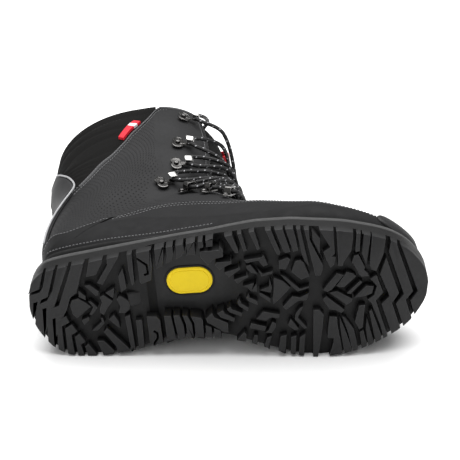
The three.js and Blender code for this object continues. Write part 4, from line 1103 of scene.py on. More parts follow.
# Tread blocks seen from below, by zone. Those at the edge run past it and are trimmed.
LUGS: dict[str, list[list[tuple[float, float]]]] = {
    "heel_chevrons": [
        [(-4, -10.8), (0.3, -12.8), (11, -17.9), (16.4, -34.5), (15.5, -42), (-4, -42)],
        [(-5, -9.5), (0, -11.3), (12.6, -16.2), (18.4, -35), (19, -44), (26.6, -44), (25.4, -35.5),
         (17, -11.3), (4.8, -5.2), (0.8, 13), (-5, 12)],
        [(-2, 16), (2.4, 14), (6.2, -3.6), (18.4, -9.8), (27.8, -37), (28, -46), (37.5, -46),
         (36.3, -39.5), (22.5, -5.8), (11.6, -0.2), (8.4, 29), (4, 33)],
        [(10.4, 31), (13.4, 1.4), (24.4, -4), (39.2, -40), (39, -48), (50.5, -48), (49.8, -42),
         (44.6, -27), (40.2, -14), (34, -9.6), (31.3, -1), (28.4, 4.2), (18.4, 8.6), (16.2, 37), (12, 39)],
        [(18.2, 37), (20, 10.2), (28.8, 5.6), (31, 12), (24.4, 15.4), (23.2, 42), (18, 44)],
        [(25.1, 42), (26.3, 17), (32.4, 13.4), (36.2, 20.4), (31, 23.6), (31.4, 46), (25, 46)],
        [(33.6, 44), (33, 25), (37.2, 22.2), (41.4, 30.2), (37.4, 32.8), (39.2, 46), (33, 48)],
        [(41.2, 48), (39.9, 34.6), (43, 31.6), (49, 42.5), (48, 49)],
    ],
    "heel_star": [
        [(33, -3), (35, -8), (40.5, -9.5), (45.8, -5.2), (49.8, -1.2), (40, 6.6), (37, 8.5), (34.3, 5)],
        [(46.2, -20.3), (51, -20.5), (57.4, -14.3), (56.8, -10.8), (54.2, -10.4)],
        [(41.4, -16.3), (46.6, -10.9), (46.4, -6.8), (40.8, -10.2)],
        [(47.4, -6.2), (50.2, -6), (54.8, 0), (49.5, 6.6), (46.8, 6.4), (50.8, -0.8)],
        [(57, -9.5), (60.5, -11), (67.2, -5.2), (61, 3.2), (58.5, 7.5), (55.5, 4.5), (56, 0.5), (58, -4.5)],
        [(61.8, -12.6), (69.6, -16.8), (68.6, -9.4), (67.4, -7)],
        [(70, -6.5), (72.5, -9.5), (75, -8.4), (80, -3.3), (79.8, 2.8), (76, 6.4), (70, 6.2), (72, 0.2)],
        [(42.2, 15.4), (40.3, 10.2), (46.3, 7.8), (47.3, 8.4), (46.6, 11)],
        [(47, 20.6), (56, 12.6), (55.6, 9.6), (57.6, 9.2), (58.4, 14.5), (52, 20.9)],
        [(61.5, 11.2), (66.4, 6.8), (69.6, 13.6), (70, 19.8), (68.5, 19)],
    ],
    "heel_edge": [
        [(53, -50), (64.5, -50), (63.5, -40), (57, -28.6), (48.6, -27.3), (52.5, -41)],
        [(67, -50), (77.5, -50), (75.5, -42), (61, -19.5), (56.3, -21.6), (66.2, -36.5)],
        [(77.8, -33), (78.8, -26), (79.3, -15.5), (74.2, -11.5), (73.6, -26.5)],
        [(82.3, -50), (87, -50), (85.8, -18.5), (83.2, -17.3), (82, -30)],
        [(89.5, -54), (101, -54), (101, -32), (99, -21), (91, -18), (89.6, -20)],
        [(50, 29.8), (55.8, 30.2), (63, 40), (61, 50), (55.5, 50)],
        [(56.2, 22.4), (59.6, 18.4), (75.2, 39), (74, 50), (66, 50), (64.5, 36)],
        [(74.5, 9.5), (79, 8), (79.8, 36.5), (80, 48), (77.8, 48), (75.5, 33)],
        [(82.6, 13.5), (88, 13.5), (87, 46), (82.6, 46)],
        [(91.5, 10.5), (99.5, 11), (102, 15), (102.6, 46), (91, 46), (92, 30)],
    ],
    "waist_edge": [
        [(103.8, -62), (111.3, -62), (110.8, -42), (109.2, -32.5), (103.5, -30.5)],
        [(113, -62), (118.4, -62), (118.2, -42), (116.8, -36.6), (111.4, -34.6), (112.6, -41)],
        [(120.2, -62), (126, -62), (127, -44), (124, -39.8), (119.3, -37.5), (120, -42)],
        [(127.8, -62), (135, -62), (135, -40.2), (130.5, -41), (127.2, -40.3), (128.6, -43.5)],
        [(137, -62), (141.5, -62), (141.8, -46.4), (137.6, -45.4)],
        [(143, -62), (149.4, -62), (148.8, -46.8), (143.4, -46.2)],
        [(105, 11), (110.8, 11.3), (112.8, 30), (112.8, 40), (105.3, 40)],
        [(112.2, 11.3), (117.5, 11.5), (120, 21), (120.2, 40), (114.2, 40), (114, 30)],
        [(119.4, 11.8), (123.6, 12.3), (126.6, 20), (127, 40), (121.6, 40), (121.4, 20)],
        [(125.6, 12.8), (134, 14.8), (135.4, 17), (135, 40), (128.2, 40), (128, 19.5)],
        [(136.6, 21.6), (141.5, 23.8), (141.5, 40), (136.6, 40)],
        [(143, 24.8), (148.5, 27.4), (148.5, 40), (142.6, 40)],
    ],
    "waist_zigzags": [
        [(138, -43.3), (153, -43.8), (153.4, -47.3), (156.4, -44), (155.9, -37), (147.3, -35.3),
         (145.3, -31), (143, -31), (138.2, -38)],
        [(149.5, -33.2), (160.6, -33.2), (161.3, -37), (162.3, -31), (154, -27.3), (152.2, -25.4),
         (148.6, -30.8)],
        [(155.2, -24), (166.2, -27), (167, -30), (168.2, -25.5), (160.6, -20.5), (158.6, -18.8)],
        [(162, -17.2), (171.8, -20), (172.8, -23.4), (174, -18.5), (167.5, -15), (165, -12.8)],
        [(168.6, -11), (178.6, -13.4), (179.4, -18), (179.8, -10.5), (179.4, -5), (174.5, -5.6),
         (172.5, -8.5)],
        [(137.2, 16), (143, 10.8), (144.4, 15.2), (154.8, 21), (154.4, 30), (151.5, 30), (143, 23.2),
         (138.4, 20)],
        [(146.3, 12), (152, 9), (153, 12.4), (160.3, 17), (159.6, 20.8), (149.5, 16.3)],
        [(154.5, 8.6), (157.8, 6), (159, 9.2), (166.8, 12.8), (165.6, 16.4), (156.5, 12)],
        [(162.8, 3.5), (165.2, -0.5), (166.6, 4.2), (172, 8.4), (171, 12), (164.5, 7.2)],
        [(170.2, -0.6), (172.6, -4.4), (173.6, -0.4), (179.2, 3), (179, 7), (171.4, 2.6)],
        [(180.8, -4.4), (183, -3.6), (189.4, 1.3), (189, 5.6), (181, -1.6)],
    ],
    "fore_outer": [
        [(153.5, -64), (161.5, -64), (167.5, -44), (168.2, -39.5), (164.8, -39.8)],
        [(165.8, -64), (169.5, -64), (174.6, -41), (171.4, -40.6)],
        [(174.3, -64), (179.8, -64), (184.6, -42), (181.8, -41)],
        [(186.8, -64), (192.2, -64), (199.6, -38.5), (199, -35.6), (196.5, -36.2)],
        [(194.2, -64), (200.6, -64), (207.5, -38), (203.5, -36.8), (201.6, -38.4)],
        [(202.6, -64), (208.5, -64), (212, -50), (213.5, -38.5), (209, -37.6)],
        [(211.6, -64), (215, -64), (220.8, -24), (216.8, -29.5), (215, -37)],
        [(217, -64), (222, -64), (222.5, -47), (231, -25.5), (231.3, -21.5), (228.8, -15.6),
         (224.6, -15.6)],
        [(224.2, -55.5), (230.4, -48), (229.6, -38.6), (229.8, -35), (232, -28), (224, -46.5)],
        [(226.5, -62), (240.6, -62), (240.8, -33), (238.6, -31.6), (241.5, -30.6), (239.8, -24),
         (236.6, -21.3), (233.6, -29), (231.6, -36), (237.2, -39.5), (233, -48)],
        [(242.4, -62), (256, -62), (255.2, -44), (253.4, -34), (247, -25.2), (246.3, -22), (242.2, -22.2),
         (242.6, -27)],
        [(258.6, -58), (262.5, -58), (259.8, -33), (256.5, -32.3), (256, -34)],
        [(263.5, -58), (269.5, -54), (267.5, -37), (264.2, -20.5), (260.8, -31)],
        [(270.4, -54), (281, -44), (277.8, -26.5), (271.8, -13.4), (267.8, -15.6), (266.4, -20.5)],
        [(255, -30), (258.6, -30.6), (263.4, -18.5), (262.6, -16.4), (265, -13.6), (266.2, -10.2),
         (260, -10.5), (258.3, -13), (254, -22.6), (252.6, -23.8)],
        [(171, -33.6), (184.6, -35), (186.4, -37.6), (189.6, -28), (185.6, -26.4), (182, -32),
         (173, -30.4)],
        [(172, -28.4), (176, -29.4), (181.5, -20.2), (175.8, -22), (173, -25)],
        [(181, -25.5), (185, -20.6), (192.8, -22.6), (192, -19.8), (183.5, -18)],
        [(197.5, -31), (204.6, -33.5), (207, -31.5), (202.6, -22.6), (197, -24)],
        [(210, -30), (214.4, -30.6), (217, -28), (220.6, -15.8), (213.8, -13), (206.4, -20.6)],
    ],
    "fore_star": [
        [(181, -6.4), (188.5, -9.2), (189.8, -16), (191.2, -8), (190, -3.4), (186, -4.4)],
        [(192.5, -17), (199.8, -13.5), (205.5, -7), (196, 3), (191, 7), (190.6, 2), (191.9, -6)],
        [(198, -19), (201.6, -17.4), (212.4, -5.6), (219.6, -7.4), (219.4, -5.4), (210.4, -2.8),
         (206.4, -7.6), (200.6, -14.6)],
        [(203.6, 3), (206, 0.6), (212, 2), (219.2, -1.4), (217.4, 5), (210, 5.6), (200.5, 13), (198, 9.5)],
        [(229.6, -3), (241.2, -16.6), (246.8, -14.2), (236.8, -2.2), (233, -0.8)],
        [(248.8, -16.8), (253.6, -15), (256.4, -11.8), (246.5, -3.4), (242.6, -3.8), (240, -5.4)],
        [(247.6, 2), (258.8, -7.8), (261, -6), (251, 3.4)],
        [(253.2, 6.8), (263.2, -2.6), (269.6, -1), (268, 5.4), (262, 7)],
        [(266.6, -8), (271.9, -10.5), (276.8, 6.2), (270.8, 12.2), (274.5, 28), (278.6, 44), (279, 54),
         (276.4, 54), (272.6, 34), (266.8, 14.2), (263.8, 10), (269, 7), (271.4, -0.5)],
        [(229, 5), (232.3, 2.6), (246.2, 16.4), (243.2, 19.4), (238.8, 16), (234, 15)],
        [(234.6, -0.2), (240.8, -1), (247.5, 3.8), (252.6, 7.4), (251.4, 10.2), (247.4, 12.6)],
    ],
    "fore_inner": [
        [(182.4, 12.6), (195.4, 16.2), (194.6, 20), (188.6, 18.8), (184.4, 21.6), (176.4, 19.2)],
        [(172.4, 22.4), (184.6, 26.4), (183.2, 30.6), (170.6, 27.2)],
        [(189, 22), (192, 24), (191.8, 27.5), (188.2, 33), (182.8, 32), (185.6, 29.6)],
        [(210.8, 11.8), (214.2, 10), (209.6, 20.2), (216, 29.4), (213.6, 31), (206.4, 21.5), (207.6, 16)],
        [(203.6, 20.5), (207.6, 26.6), (209.8, 31), (206, 31.5), (200.6, 26.5)],
        [(160.4, 36.5), (166.6, 29.6), (168.4, 32.4), (165.6, 50), (160, 50)],
        [(172, 40.5), (174.2, 33.2), (177.2, 34), (174.8, 54), (171, 54)],
        [(180.4, 46.5), (184, 36.4), (188, 35.2), (186, 42), (183.4, 58), (178, 58)],
        [(194.5, 36), (199.8, 35), (197.6, 52), (197, 60), (190.6, 60), (191.5, 52)],
        [(202.6, 37.5), (207.4, 36), (205, 62), (200.4, 62)],
        [(209.4, 38), (214.5, 34.6), (213.4, 44), (211.4, 62), (207, 62)],
        [(221.4, 14), (226.6, 14.2), (229.6, 19), (228.4, 30), (225.6, 45.5), (222, 62), (218.4, 62),
         (219.8, 40)],
        [(233.6, 21), (239.8, 21.8), (240.2, 31), (242, 46), (242.8, 62), (230, 62), (235.6, 44.5),
         (235.8, 41.4), (231, 40.4), (231.8, 32)],
        [(241.2, 31.5), (241.6, 22), (245.6, 34), (249.8, 50), (249.6, 62), (244.4, 62)],
        [(243.4, 21.5), (246.6, 24), (252.4, 34.6), (254.8, 50), (255, 62), (251.2, 62), (247.4, 38)],
        [(257, 14.2), (262.2, 14.4), (261, 22), (259.6, 34.5), (256.4, 36.2), (253, 28.6)],
        [(256.4, 38.2), (259.8, 36.4), (262, 48), (262, 60), (257.8, 60)],
        [(262.8, 26), (268, 50), (268, 60), (263.8, 60), (261.2, 36)],
        [(264.6, 21), (267, 19), (273.4, 42), (274.6, 56), (270.4, 58)],
    ],
    "toe_bars": [
        [(279.8, -24.5), (289.2, 9.5), (283.4, 17.2), (289.3, 41), (291, 56), (282.5, 56), (281.4, 43.5),
         (274.4, 15.8), (281, 10.4), (274.3, -10.5)],
        [(283.4, -46), (289.4, -44), (288.8, -33), (300.4, 10.8), (294.4, 17), (298.4, 33.6), (303, 48),
         (293, 56), (291.4, 40), (285.8, 18.2), (292.4, 11), (281.8, -28.5), (283.6, -36.5)],
        [(290.9, -44), (291, -33), (303.6, 11.4), (297.4, 18.4), (300.8, 33), (308, 46), (325, 20),
         (325, -30), (300, -44)],
    ],
}


# ---------------------------------------------------------------- the sole


def stood_off(points: Array, inset: float) -> Array:
    """An outline moved inwards by the same distance all round.

    Args:
        points: corners in x and y, anticlockwise.
        inset: distance in millimetres.

    Returns:
        The moved corners.
    """
    before = points - np.roll(points, 1, 0)
    after = np.roll(points, -1, 0) - points
    normals = [
        np.stack([-e[:, 1], e[:, 0]], -1) / np.linalg.norm(e, axis=1)[:, None]
        for e in (before, after)
    ]
    total = normals[0] + normals[1]
    share = np.maximum(0.6, (total * normals[0]).sum(1))
    return points + total / share[:, None] * inset


@dataclass(frozen=True)
class Sole:
    """The lugged outsole, its badge and the cup-shaped midsole."""

    badge_middle = (127.0, -12.0)
    length: float = 313
    lug_height: float = 6
    lug_root: float = 1
    top: float = 16
    waist: float = 7.5
    spring: float = 18
    spring_start: float = 222
    heel_bevel: float = 5
    bevel_end: float = 34
    draft: float = 0.22
    chamfer: float = 0.42
    badge_length: float = 36
    badge_width: float = 23
    cup_rim: float = 31
    heel_lift: float = 8
    sipe_width: float = 1.1

    def rise(self, x: Numbers) -> Array:
        """Height added to the flat sole by the toe's spring and the heel's bevel."""
        toe = np.maximum(0, np.asarray(x) - self.spring_start) / (self.length - self.spring_start)
        heel = np.maximum(0, self.bevel_end - np.asarray(x)) / self.bevel_end
        return self.spring * toe**2 + self.heel_bevel * heel**2

    def arch(self, x: Numbers) -> Array:
        """Height of the waist's smooth face over the groove floor."""
        t = np.asarray(x, float)
        return self.waist * smooth((t - 92) / 10) * (1 - smooth((t - 147) / 24))

    def outline(self, inset: float = 0, count: int = 150) -> Array:
        """The sole's outline, anticlockwise, moved inwards.

        Args:
            inset: how far inwards.
            count: steps along each side.

        Returns:
            Points in x and y.
        """
        t = (1 - np.cos(np.linspace(0, math.pi, count + 1))) / 2
        x = lerp(inset, self.length - inset, t)
        low = outer_edge(t * self.length) + inset
        high = inner_edge(t * self.length) - inset
        middle = (low + high) / 2
        low, high = np.minimum(low, middle - 0.5), np.maximum(high, middle + 0.5)
        return np.concatenate([np.stack([x, low], -1), np.stack([x, high], -1)[::-1]])

    def trimmed(self, corners: Sequence[tuple[float, float]]) -> Array:
        """A block's outline, cut off where it runs past the sole's edge.

        Args:
            corners: the block's corners.

        Returns:
            The trimmed outline, anticlockwise.
        """
        ends = np.array(corners, float)
        area = np.sum(ends[:, 0] * np.roll(ends[:, 1], -1) - ends[:, 1] * np.roll(ends[:, 0], -1))
        ends = ends if area > 0 else ends[::-1]
        walk: list[Array] = []
        for a, b in zip(ends, np.roll(ends, -1, 0)):
            steps = max(1, int(np.linalg.norm(b - a) / 0.4))
            walk += [a + (b - a) * t for t in np.arange(steps) / steps]
        path = np.array(walk)
        corner = np.isin(path, ends).all(1)
        x, y = path.T
        inside = (x > 0.3) & (x < self.length - 0.3) & (y > outer_edge(x) + 0.05) & (y < inner_edge(x) - 0.05)
        if not inside.any() or inside.all():
            return ends
        first = int(np.flatnonzero(inside & ~np.roll(inside, 1))[0])
        path, inside, corner = (np.roll(v, -first, 0) for v in (path, inside, corner))
        edge = self.outline(0.05, 420)
        points: list[Array] = []
        i = 0
        while i < len(path):
            if inside[i]:
                turns = i == 0 or not inside[i - 1] or not inside[(i + 1) % len(path)]
                if corner[i] or turns:
                    points.append(path[i])
                i += 1
                continue
            start = i
            while i < len(path) and not inside[i]:
                i += 1
            leave = int(np.argmin(np.linalg.norm(edge - path[start], axis=1)))
            enter = int(np.argmin(np.linalg.norm(edge - path[i - 1], axis=1)))
            count = len(edge)
            forward = (enter - leave) % count
            span = forward if forward <= count // 2 else forward - count
            step = 2 if span >= 0 else -2
            points += [edge[(leave + k) % count] for k in range(0, span, step)]
            points.append(edge[enter])
        kept = [p for k, p in enumerate(points) if np.linalg.norm(p - points[k - 1]) > 0.5]
        return np.array(kept)

    def block(self, corners: Sequence[tuple[float, float]], zone: str) -> Solid:
        """One tread block with a drafted side and a chamfered top.

        Args:
            corners: its outline seen from below.
            zone: the part of the tread it belongs to.

        Returns:
            The closed mesh.
        """
        outline = self.trimmed(corners)
        root = self.lug_height + self.lug_root + (self.waist if zone.startswith("waist") else 0)
        rings = []
        for inset, z in (
            (0.0, root),
            (self.draft, self.chamfer + 0.1),
            (self.draft + self.chamfer * 0.6, self.chamfer * 0.3),
            (self.draft + self.chamfer * 1.25, 0.0),
        ):
            ring = stood_off(outline, inset)
            rings.append(np.column_stack([ring, z + self.rise(outline[:, 0])]))
        solid = ring_stack(rings)
        count = len(outline)
        # Painted light and shade: dark at the root, a painted highlight on the chamfered edge and a lighter
        # top face.
        solid.shade = np.concatenate([np.full(count, v) for v in (0.0, 0.3, 1.0, 0.3)])
        return solid

    def boss(self) -> Solid:
        """The low tapered boss that runs from the heel's star into the waist."""
        outline = np.array([(78, -10.5), (95, -8.5), (97, -3), (94, 3), (78, 2.5)])
        slope = smooth((outline[:, 0] - 76) / 26) * 9
        rings = [
            np.column_stack([stood_off(outline, inset), z + slope])
            for inset, z in ((0.0, 8.0), (0.3, 2.4), (1.2, 1.6))
        ]
        rings[0][:, 2] = 15
        solid = ring_stack(rings)
        # Painted light: the boss is a little lighter than the groove floors, like a block's top.
        solid.shade = solid.shade * 0.3
        return solid

    def plate(self) -> Solid:
        """The outsole's plate, with the groove floors below and the smooth waist."""
        t = (1 - np.cos(np.linspace(0, math.pi, 150))) / 2
        x = (t * self.length)[:, None]
        share = np.concatenate([[0, 0.015, 0.05], np.linspace(0.1, 0.9, 22), [0.95, 0.985, 1]])[None, :]
        low, high = outer_edge(x) + 0.1, inner_edge(x) - 0.1
        middle = (low + high) / 2
        low, high = np.minimum(low, middle - 0.4), np.maximum(high, middle + 0.4)
        y = lerp(low, high, share)
        near = np.minimum(share, 1 - share)
        floor = self.lug_height + self.arch(x) * (0.4 + 0.6 * smooth(near / 0.08))
        full_x = np.broadcast_to(x, y.shape)
        bottom = np.stack([full_x, y, floor + self.rise(x)], -1)
        upper = np.stack([full_x, y, self.top + self.rise(x) + 0 * y], -1)
        # Painted light: the waist's smooth face is lighter, and the groove floors keep the darkest tone as
        # painted shade.
        shade = smooth(self.arch(x) / self.waist) * 0.34 * smooth(near / 0.1)
        return closed_grid([bottom, upper], False, False, np.broadcast_to(shade, y.shape))

    def stadium(self, inset: float, z: float) -> Array:
        """The badge's outline, moved inwards, at a height over its face."""
        angles = (np.arange(64) + 0.5) / 64 * 2 * math.pi
        run = (self.badge_length - self.badge_width) / 2
        radius = self.badge_width / 2 - inset
        x = self.badge_middle[0] + np.sign(np.cos(angles)) * run + radius * np.cos(angles)
        y = self.badge_middle[1] + radius * np.sin(angles)
        return np.column_stack([x, y, np.full(64, self.lug_height + self.waist + z)])

    def lip(self) -> Solid:
        """The rubber lip round the badge."""
        steps = ((-1.9, 0.6), (-1.7, -0.55), (-1.3, -0.8), (-0.7, -0.8), (-0.35, -0.5), (-0.3, 0.7))
        solid = ring_stack([self.stadium(inset, z) for inset, z in steps])
        # Painted light: the lip is slightly lighter than the groove floors.
        solid.shade = solid.shade * 0.15
        return solid

    def badge(self) -> Solid:
        """The plain badge, with a bevelled edge and a shallow frame line."""
        steps = (
            (0.0, 1.0), (0.0, -0.25), (0.25, -0.62), (0.8, -0.8), (1.9, -0.8), (2.15, -0.5), (2.75, -0.5),
            (3.0, -0.8), (5.0, -0.9),
        )
        return ring_stack([self.stadium(inset, z) for inset, z in steps])

    def cup(self) -> Solid:
        """The midsole: a flange over the outsole, the heel's groove and the cup's edge."""
        flat = self.outline(0)
        x = flat[:, 0]
        groove = smooth((112 - x) / 26) * smooth((x + 3) / 6)
        rim = self.cup_rim + self.heel_lift * smooth((120 - x) / 70)
        levels: list[tuple[Array, Array]] = [
            (self.top + 0.1 + 0 * x, 1.0 + 0 * x),
            (self.top + 0.5 + 0 * x, 0.5 + 0 * x),
            (lerp(21.0, 22.0, groove), 0.6 + 0 * x),
            (lerp(22.2, 22.8, groove), 1.0 + 0.3 * groove),
            (lerp(22.8, 23.3, groove), 1.7 + 1.6 * groove),
            (lerp(23.6, 24.0, groove), 1.9 + 6.6 * groove),
            (lerp(25.5, 27.5, groove), 2.2 + 8.4 * groove),
            (rim - lerp(3.2, 3.4, groove), 3.0 + 7.6 * groove),
            (rim - lerp(1.6, 2.2, groove), 3.8 + 2.2 * groove),
            (rim - 0.5, 4.4 + 0.2 * groove),
            (rim, 5.0 + 0.2 * groove),
            (rim - 0.6, 6.6 + 0 * x),
            (rim - 6, 9 + 0 * x),
            (19 + 0 * x, 16 + 0 * x),
        ]
        centre = np.array([x, (outer_edge(x) + inner_edge(x)) / 2]).T
        normal = stood_off(flat, 1.0) - flat
        rings = []
        for z, inset in levels:
            moved = flat + normal * inset[:, None]
            moved[:, 0] = np.clip(moved[:, 0], inset * 0.9, self.length - inset * 0.9)
            crossed = (moved[:, 1] - centre[:, 1]) * (flat[:, 1] - centre[:, 1]) < 0
            moved[crossed, 1] = centre[crossed, 1]
            rings.append(np.column_stack([moved, z + self.rise(x)]))
        solid = ring_stack(rings)
        # Painted light and shade: the flange's top and edge are pale as if lit, the heel's groove and the
        # cup's wall above it dark as painted shade, and the cup's edge a little lighter as a painted
        # highlight.
        shades = [0.6, 0.6, 1, 1, 0.5, 0, 0, 0, 0.2, 0.4, 0.4, 0, 0, 0]
        solid.shade = np.repeat(shades, len(flat)).astype(float)
        return solid

    def rim_stitches(self) -> Solid:
        """The row sewn along the cup's edge at the heel and the waist, on both sides."""
        x = np.linspace(12, 150, 220)
        z = self.cup_rim + self.heel_lift * smooth((120 - x) / 70) + self.rise(x) + 1.6
        rows = []
        for edge, sign in ((outer_edge, -1), (inner_edge, 1)):
            path = np.stack([x, edge(x) - sign * 3.2, z], -1)
            rows.append(Thread(2.9, 0.74, 0.4).row(path, np.broadcast_to([0.0, sign, 0.0], path.shape)))
        return Solid.joined(rows)

    def sipes(self) -> dict[tuple[str, int], list[tuple[float, float]]]:
        """Cuts let into the last block on each side of the heel, as outlines that replace the block's."""
        half = self.sipe_width / 2
        outer = [
            (89.5, -54), (101, -54), (101, -32), (99, -21), (91, -18), (89.6, -20), (89.55, -40.6 + half),
            (96.2, -34.0), (96.4, -27.6), (93.9, -26.6), (94.4, -25.4), (97.5, -26.4), (97.5, -34.7),
            (89.5, -42.2 + half),
        ]
        inner = [
            (91.5, 10.5), (99.5, 11), (102, 15), (102.6, 46), (91, 46), (91.35, 39.4), (95.0, 37.0),
            (99.0, 31.2), (99.1, 26.2), (96.4, 23.8), (95.6, 24.9), (97.9, 27.0), (97.8, 30.6), (94.2, 35.9),
            (91.5, 37.8),
        ]
        return {("heel_edge", 4): outer, ("heel_edge", 9): inner}

    def build(self, shop: Workshop) -> None:
        """Makes the sole's pieces."""
        cuts = self.sipes()
        blocks = [
            self.block(cuts.get((zone, i), corners), zone)
            for zone, outlines in LUGS.items()
            for i, corners in enumerate(outlines)
        ]
        outsole = Solid.joined([self.plate(), self.boss(), self.lip(), *blocks])
        shop.piece("outsole_tread", outsole, "outsole", "outsole", ["outsole"], sharp=24)
        shop.piece("plain_badge", self.badge(), "badge", "sole_badge", ["sole_badge"])
        shop.piece("cup_stitching", self.rim_stitches(), "thread", "midsole")
        shop.piece("midsole_cup", self.cup(), "midsole", "midsole", ["midsole"], sharp=50)


# ---------------------------------------------------------------- the upper


def section_length(s: Array, theta: Array) -> Array:
    """Millimetres that one section takes along the surface."""
    return np.linalg.norm(surface(s + 0.05, theta) - surface(s - 0.05, theta), axis=-1) / 0.1


def depth(value: float) -> Callable[[Array, Array], Array]:
    """A depth that is the same all over a sheet."""
    return lambda u, v: value + 0 * u


@dataclass(frozen=True)
class Upper:
    """The leather upper with its bands, facings, heel patch and sewn lines."""

    seam: float = 0.04
    back_seam: float = 0.6 * DEG
    facing_width: float = 42
    facing_flat: float = 34
    roll_height: float = 0.9
    roll_width: float = 2.3
    binding_width: float = 4.2
    thread: Thread = Thread()
    fine_thread: Thread = Thread(2.9, 0.74, 0.34)

    def vamp(self) -> Solid:
        """The vamp, all round the toes and the instep."""
        def at(u: Array, v: Array) -> tuple[Array, Array]:
            """Sections and angles of the sheet."""
            theta = v * 2 * math.pi
            return along(0, THROAT + 0.1 * (1 - np.cos(theta)) - 0.003, u), theta

        rows = np.concatenate([np.linspace(0, 0.985, 44), [0.99, 0.995, 0.998, 1]])

        def edge(u: Array, v: Array) -> Array:
            """Depth of the outer face, with a rounded edge."""
            return -1.4 * (1 - rounded(0.5 + u / 2, 300, 1.5))

        def shade(u: Array, v: Array) -> Array:
            """Shade over the face."""
            return 0 * u

        return Grid(at, edge, depth(-3), rows, np.linspace(0, 1, 97), True, True, shade).build()

    def quarter_at(self, sign: int) -> Callable[[Array, Array], tuple[Array, Array]]:
        """The quarter's sheet on one side, as a function of its shares up and round."""
        def at(u: Array, v: Array) -> tuple[Array, Array]:
            """Sections and angles of the sheet."""
            start = throat_angle(along(THROAT, RIM, u)) * DEG
            theta = lerp(start, math.pi - self.back_seam, v)
            top = np.minimum(collar_line(theta / DEG), rim_at(theta)) - self.seam
            low = THROAT + 0.1 * (1 - np.cos(theta)) + 0.004
            return along(low, top, u), sign * theta

        return at

    def quarter(self, side: Side) -> Solid:
        """One quarter with its rolled and stitched top edge."""
        at = self.quarter_at(side.value)

        def top_distance(u: Array, v: Array) -> Array:
            """Millimetres below the top edge."""
            s, theta = at(u, v)
            top, _ = at(np.ones_like(u), v)
            return (top - s) * section_length(s, theta)

        def outer(u: Array, v: Array) -> Array:
            """Depth with the roll, and the groove where it is sewn."""
            away = top_distance(u, v)
            roll = self.roll_height * np.exp(-(((away - 1.6) / self.roll_width) ** 2))
            groove = 0.45 * np.exp(-(((away - 4.6) / 0.8) ** 2))
            edge = 1.6 * (1 - rounded(0.5 + v / 2, 160)) + 1.4 * (1 - rounded((1 + u) / 2, 300, 1.4))
            return roll - groove - edge * (v < 0.5) - 1.2 * (1 - rounded(1 - v / 2, 300, 1.0)) * (v <= 0.5)

        def shade(u: Array, v: Array) -> Array:
            """1 where the leather is punched."""
            s, theta = at(u, v)
            start = throat_angle(s) + self.facing_width + 3
            return smooth((np.abs(theta) / DEG - start) / 2) * smooth((top_distance(u, v) - 6) / 1.5)

        rows = np.concatenate([np.linspace(0, 0.93, 84), np.linspace(0.934, 0.996, 24), [0.998, 1]])
        columns = np.concatenate([[0, 0.002, 0.006, 0.012], np.linspace(0.02, 1, 76)])
        return Grid(at, outer, depth(-3), rows, columns, shade=shade).build()

    def binding(self, side: Side) -> Solid:
        """The folded edge along a quarter's top, pale with a painted highlight along its roll."""
        quarter_at = self.quarter_at(side.value)

        def at(u: Array, v: Array) -> tuple[Array, Array]:
            """Sections and angles: u down from the edge and v round the shaft."""
            top, theta = quarter_at(np.ones_like(u), lerp(0.0, 0.66, v))
            return top + (0.5 - self.binding_width * u) / section_length(top - 0.1, theta), theta

        def outer(u: Array, v: Array) -> Array:
            """Depth of the outer face."""
            return 0.5 + 1.1 * rounded(u, self.binding_width, 1.3)

        rows = edge_steps(8, self.binding_width, 1.3)
        return Grid(at, outer, depth(-0.6), rows, np.linspace(0, 1, 150)).build()

    def rand_at(self, sign: int) -> Callable[[Array, Array], tuple[Array, Array]]:
        """The side band's sheet: u along the foot and v down from its top edge."""
        def at(u: Array, v: Array) -> tuple[Array, Array]:
            """Sections and angles of the sheet."""
            s = along(1.3, 9.68, u)
            return s, sign * lerp(rand_line(s), 152, v) * DEG

        return at

    def rand(self, side: Side) -> Solid:
        """One side band: thin at its sewn top edge, thicker and darker below."""
        def outer(u: Array, v: Array) -> Array:
            """Depth with a rounded top edge and a low step."""
            step = 0.8 * smooth((v - self.step_at(u)) / 0.03)
            body = 1.5 + step + 0.4 * smooth((v - 0.5) / 0.3)
            return body - 1.35 * (1 - rounded(0.5 * np.minimum(1, v), 46, 1.3))

        def shade(u: Array, v: Array) -> Array:
            """1 on the darker lower band."""
            return smooth((v - self.step_at(u)) / 0.02)

        columns = np.concatenate([[0, 0.004, 0.01, 0.02, 0.035], np.linspace(0.06, 1, 46)])
        rows = np.linspace(0, 1, 110)
        return Grid(self.rand_at(side.value), outer, depth(0.05), rows, columns, shade=shade).build()

    def step_at(self, u: Array) -> Array:
        """Where the lower band's edge runs, as a share down the side band."""
        return 0.16 + 0.14 * smooth((0.9 - u) / 0.25) * smooth((u - 0.3) / 0.3)

    def heel_at(self, u: Array, v: Array) -> tuple[Array, Array]:
        """The heel band's sheet: u up the heel and v round it."""
        degrees = lerp(-86, 86, v)
        top = 10.52 - 0.78 * smooth((np.abs(degrees) - 34) / 52)
        return along(9.66, top, u), math.pi + degrees * DEG

    def heel_band(self) -> Solid:
        """The band round the heel."""
        def outer(u: Array, v: Array) -> Array:
            """Depth with a rounded top edge and ends."""
            ends = 1 - rounded(v, 190, 1.3)
            return 2.5 - 1.6 * (1 - rounded(0.5 + 0.5 * u, 40, 1.4)) - 1.4 * ends

        rows = np.concatenate([np.linspace(0, 0.94, 22), [0.96, 0.98, 0.99, 1]])
        columns = edge_steps(72, 190, 1.3)
        return Grid(self.heel_at, outer, depth(0.05), rows, columns, shade=lambda u, v: 1 + 0 * u).build()

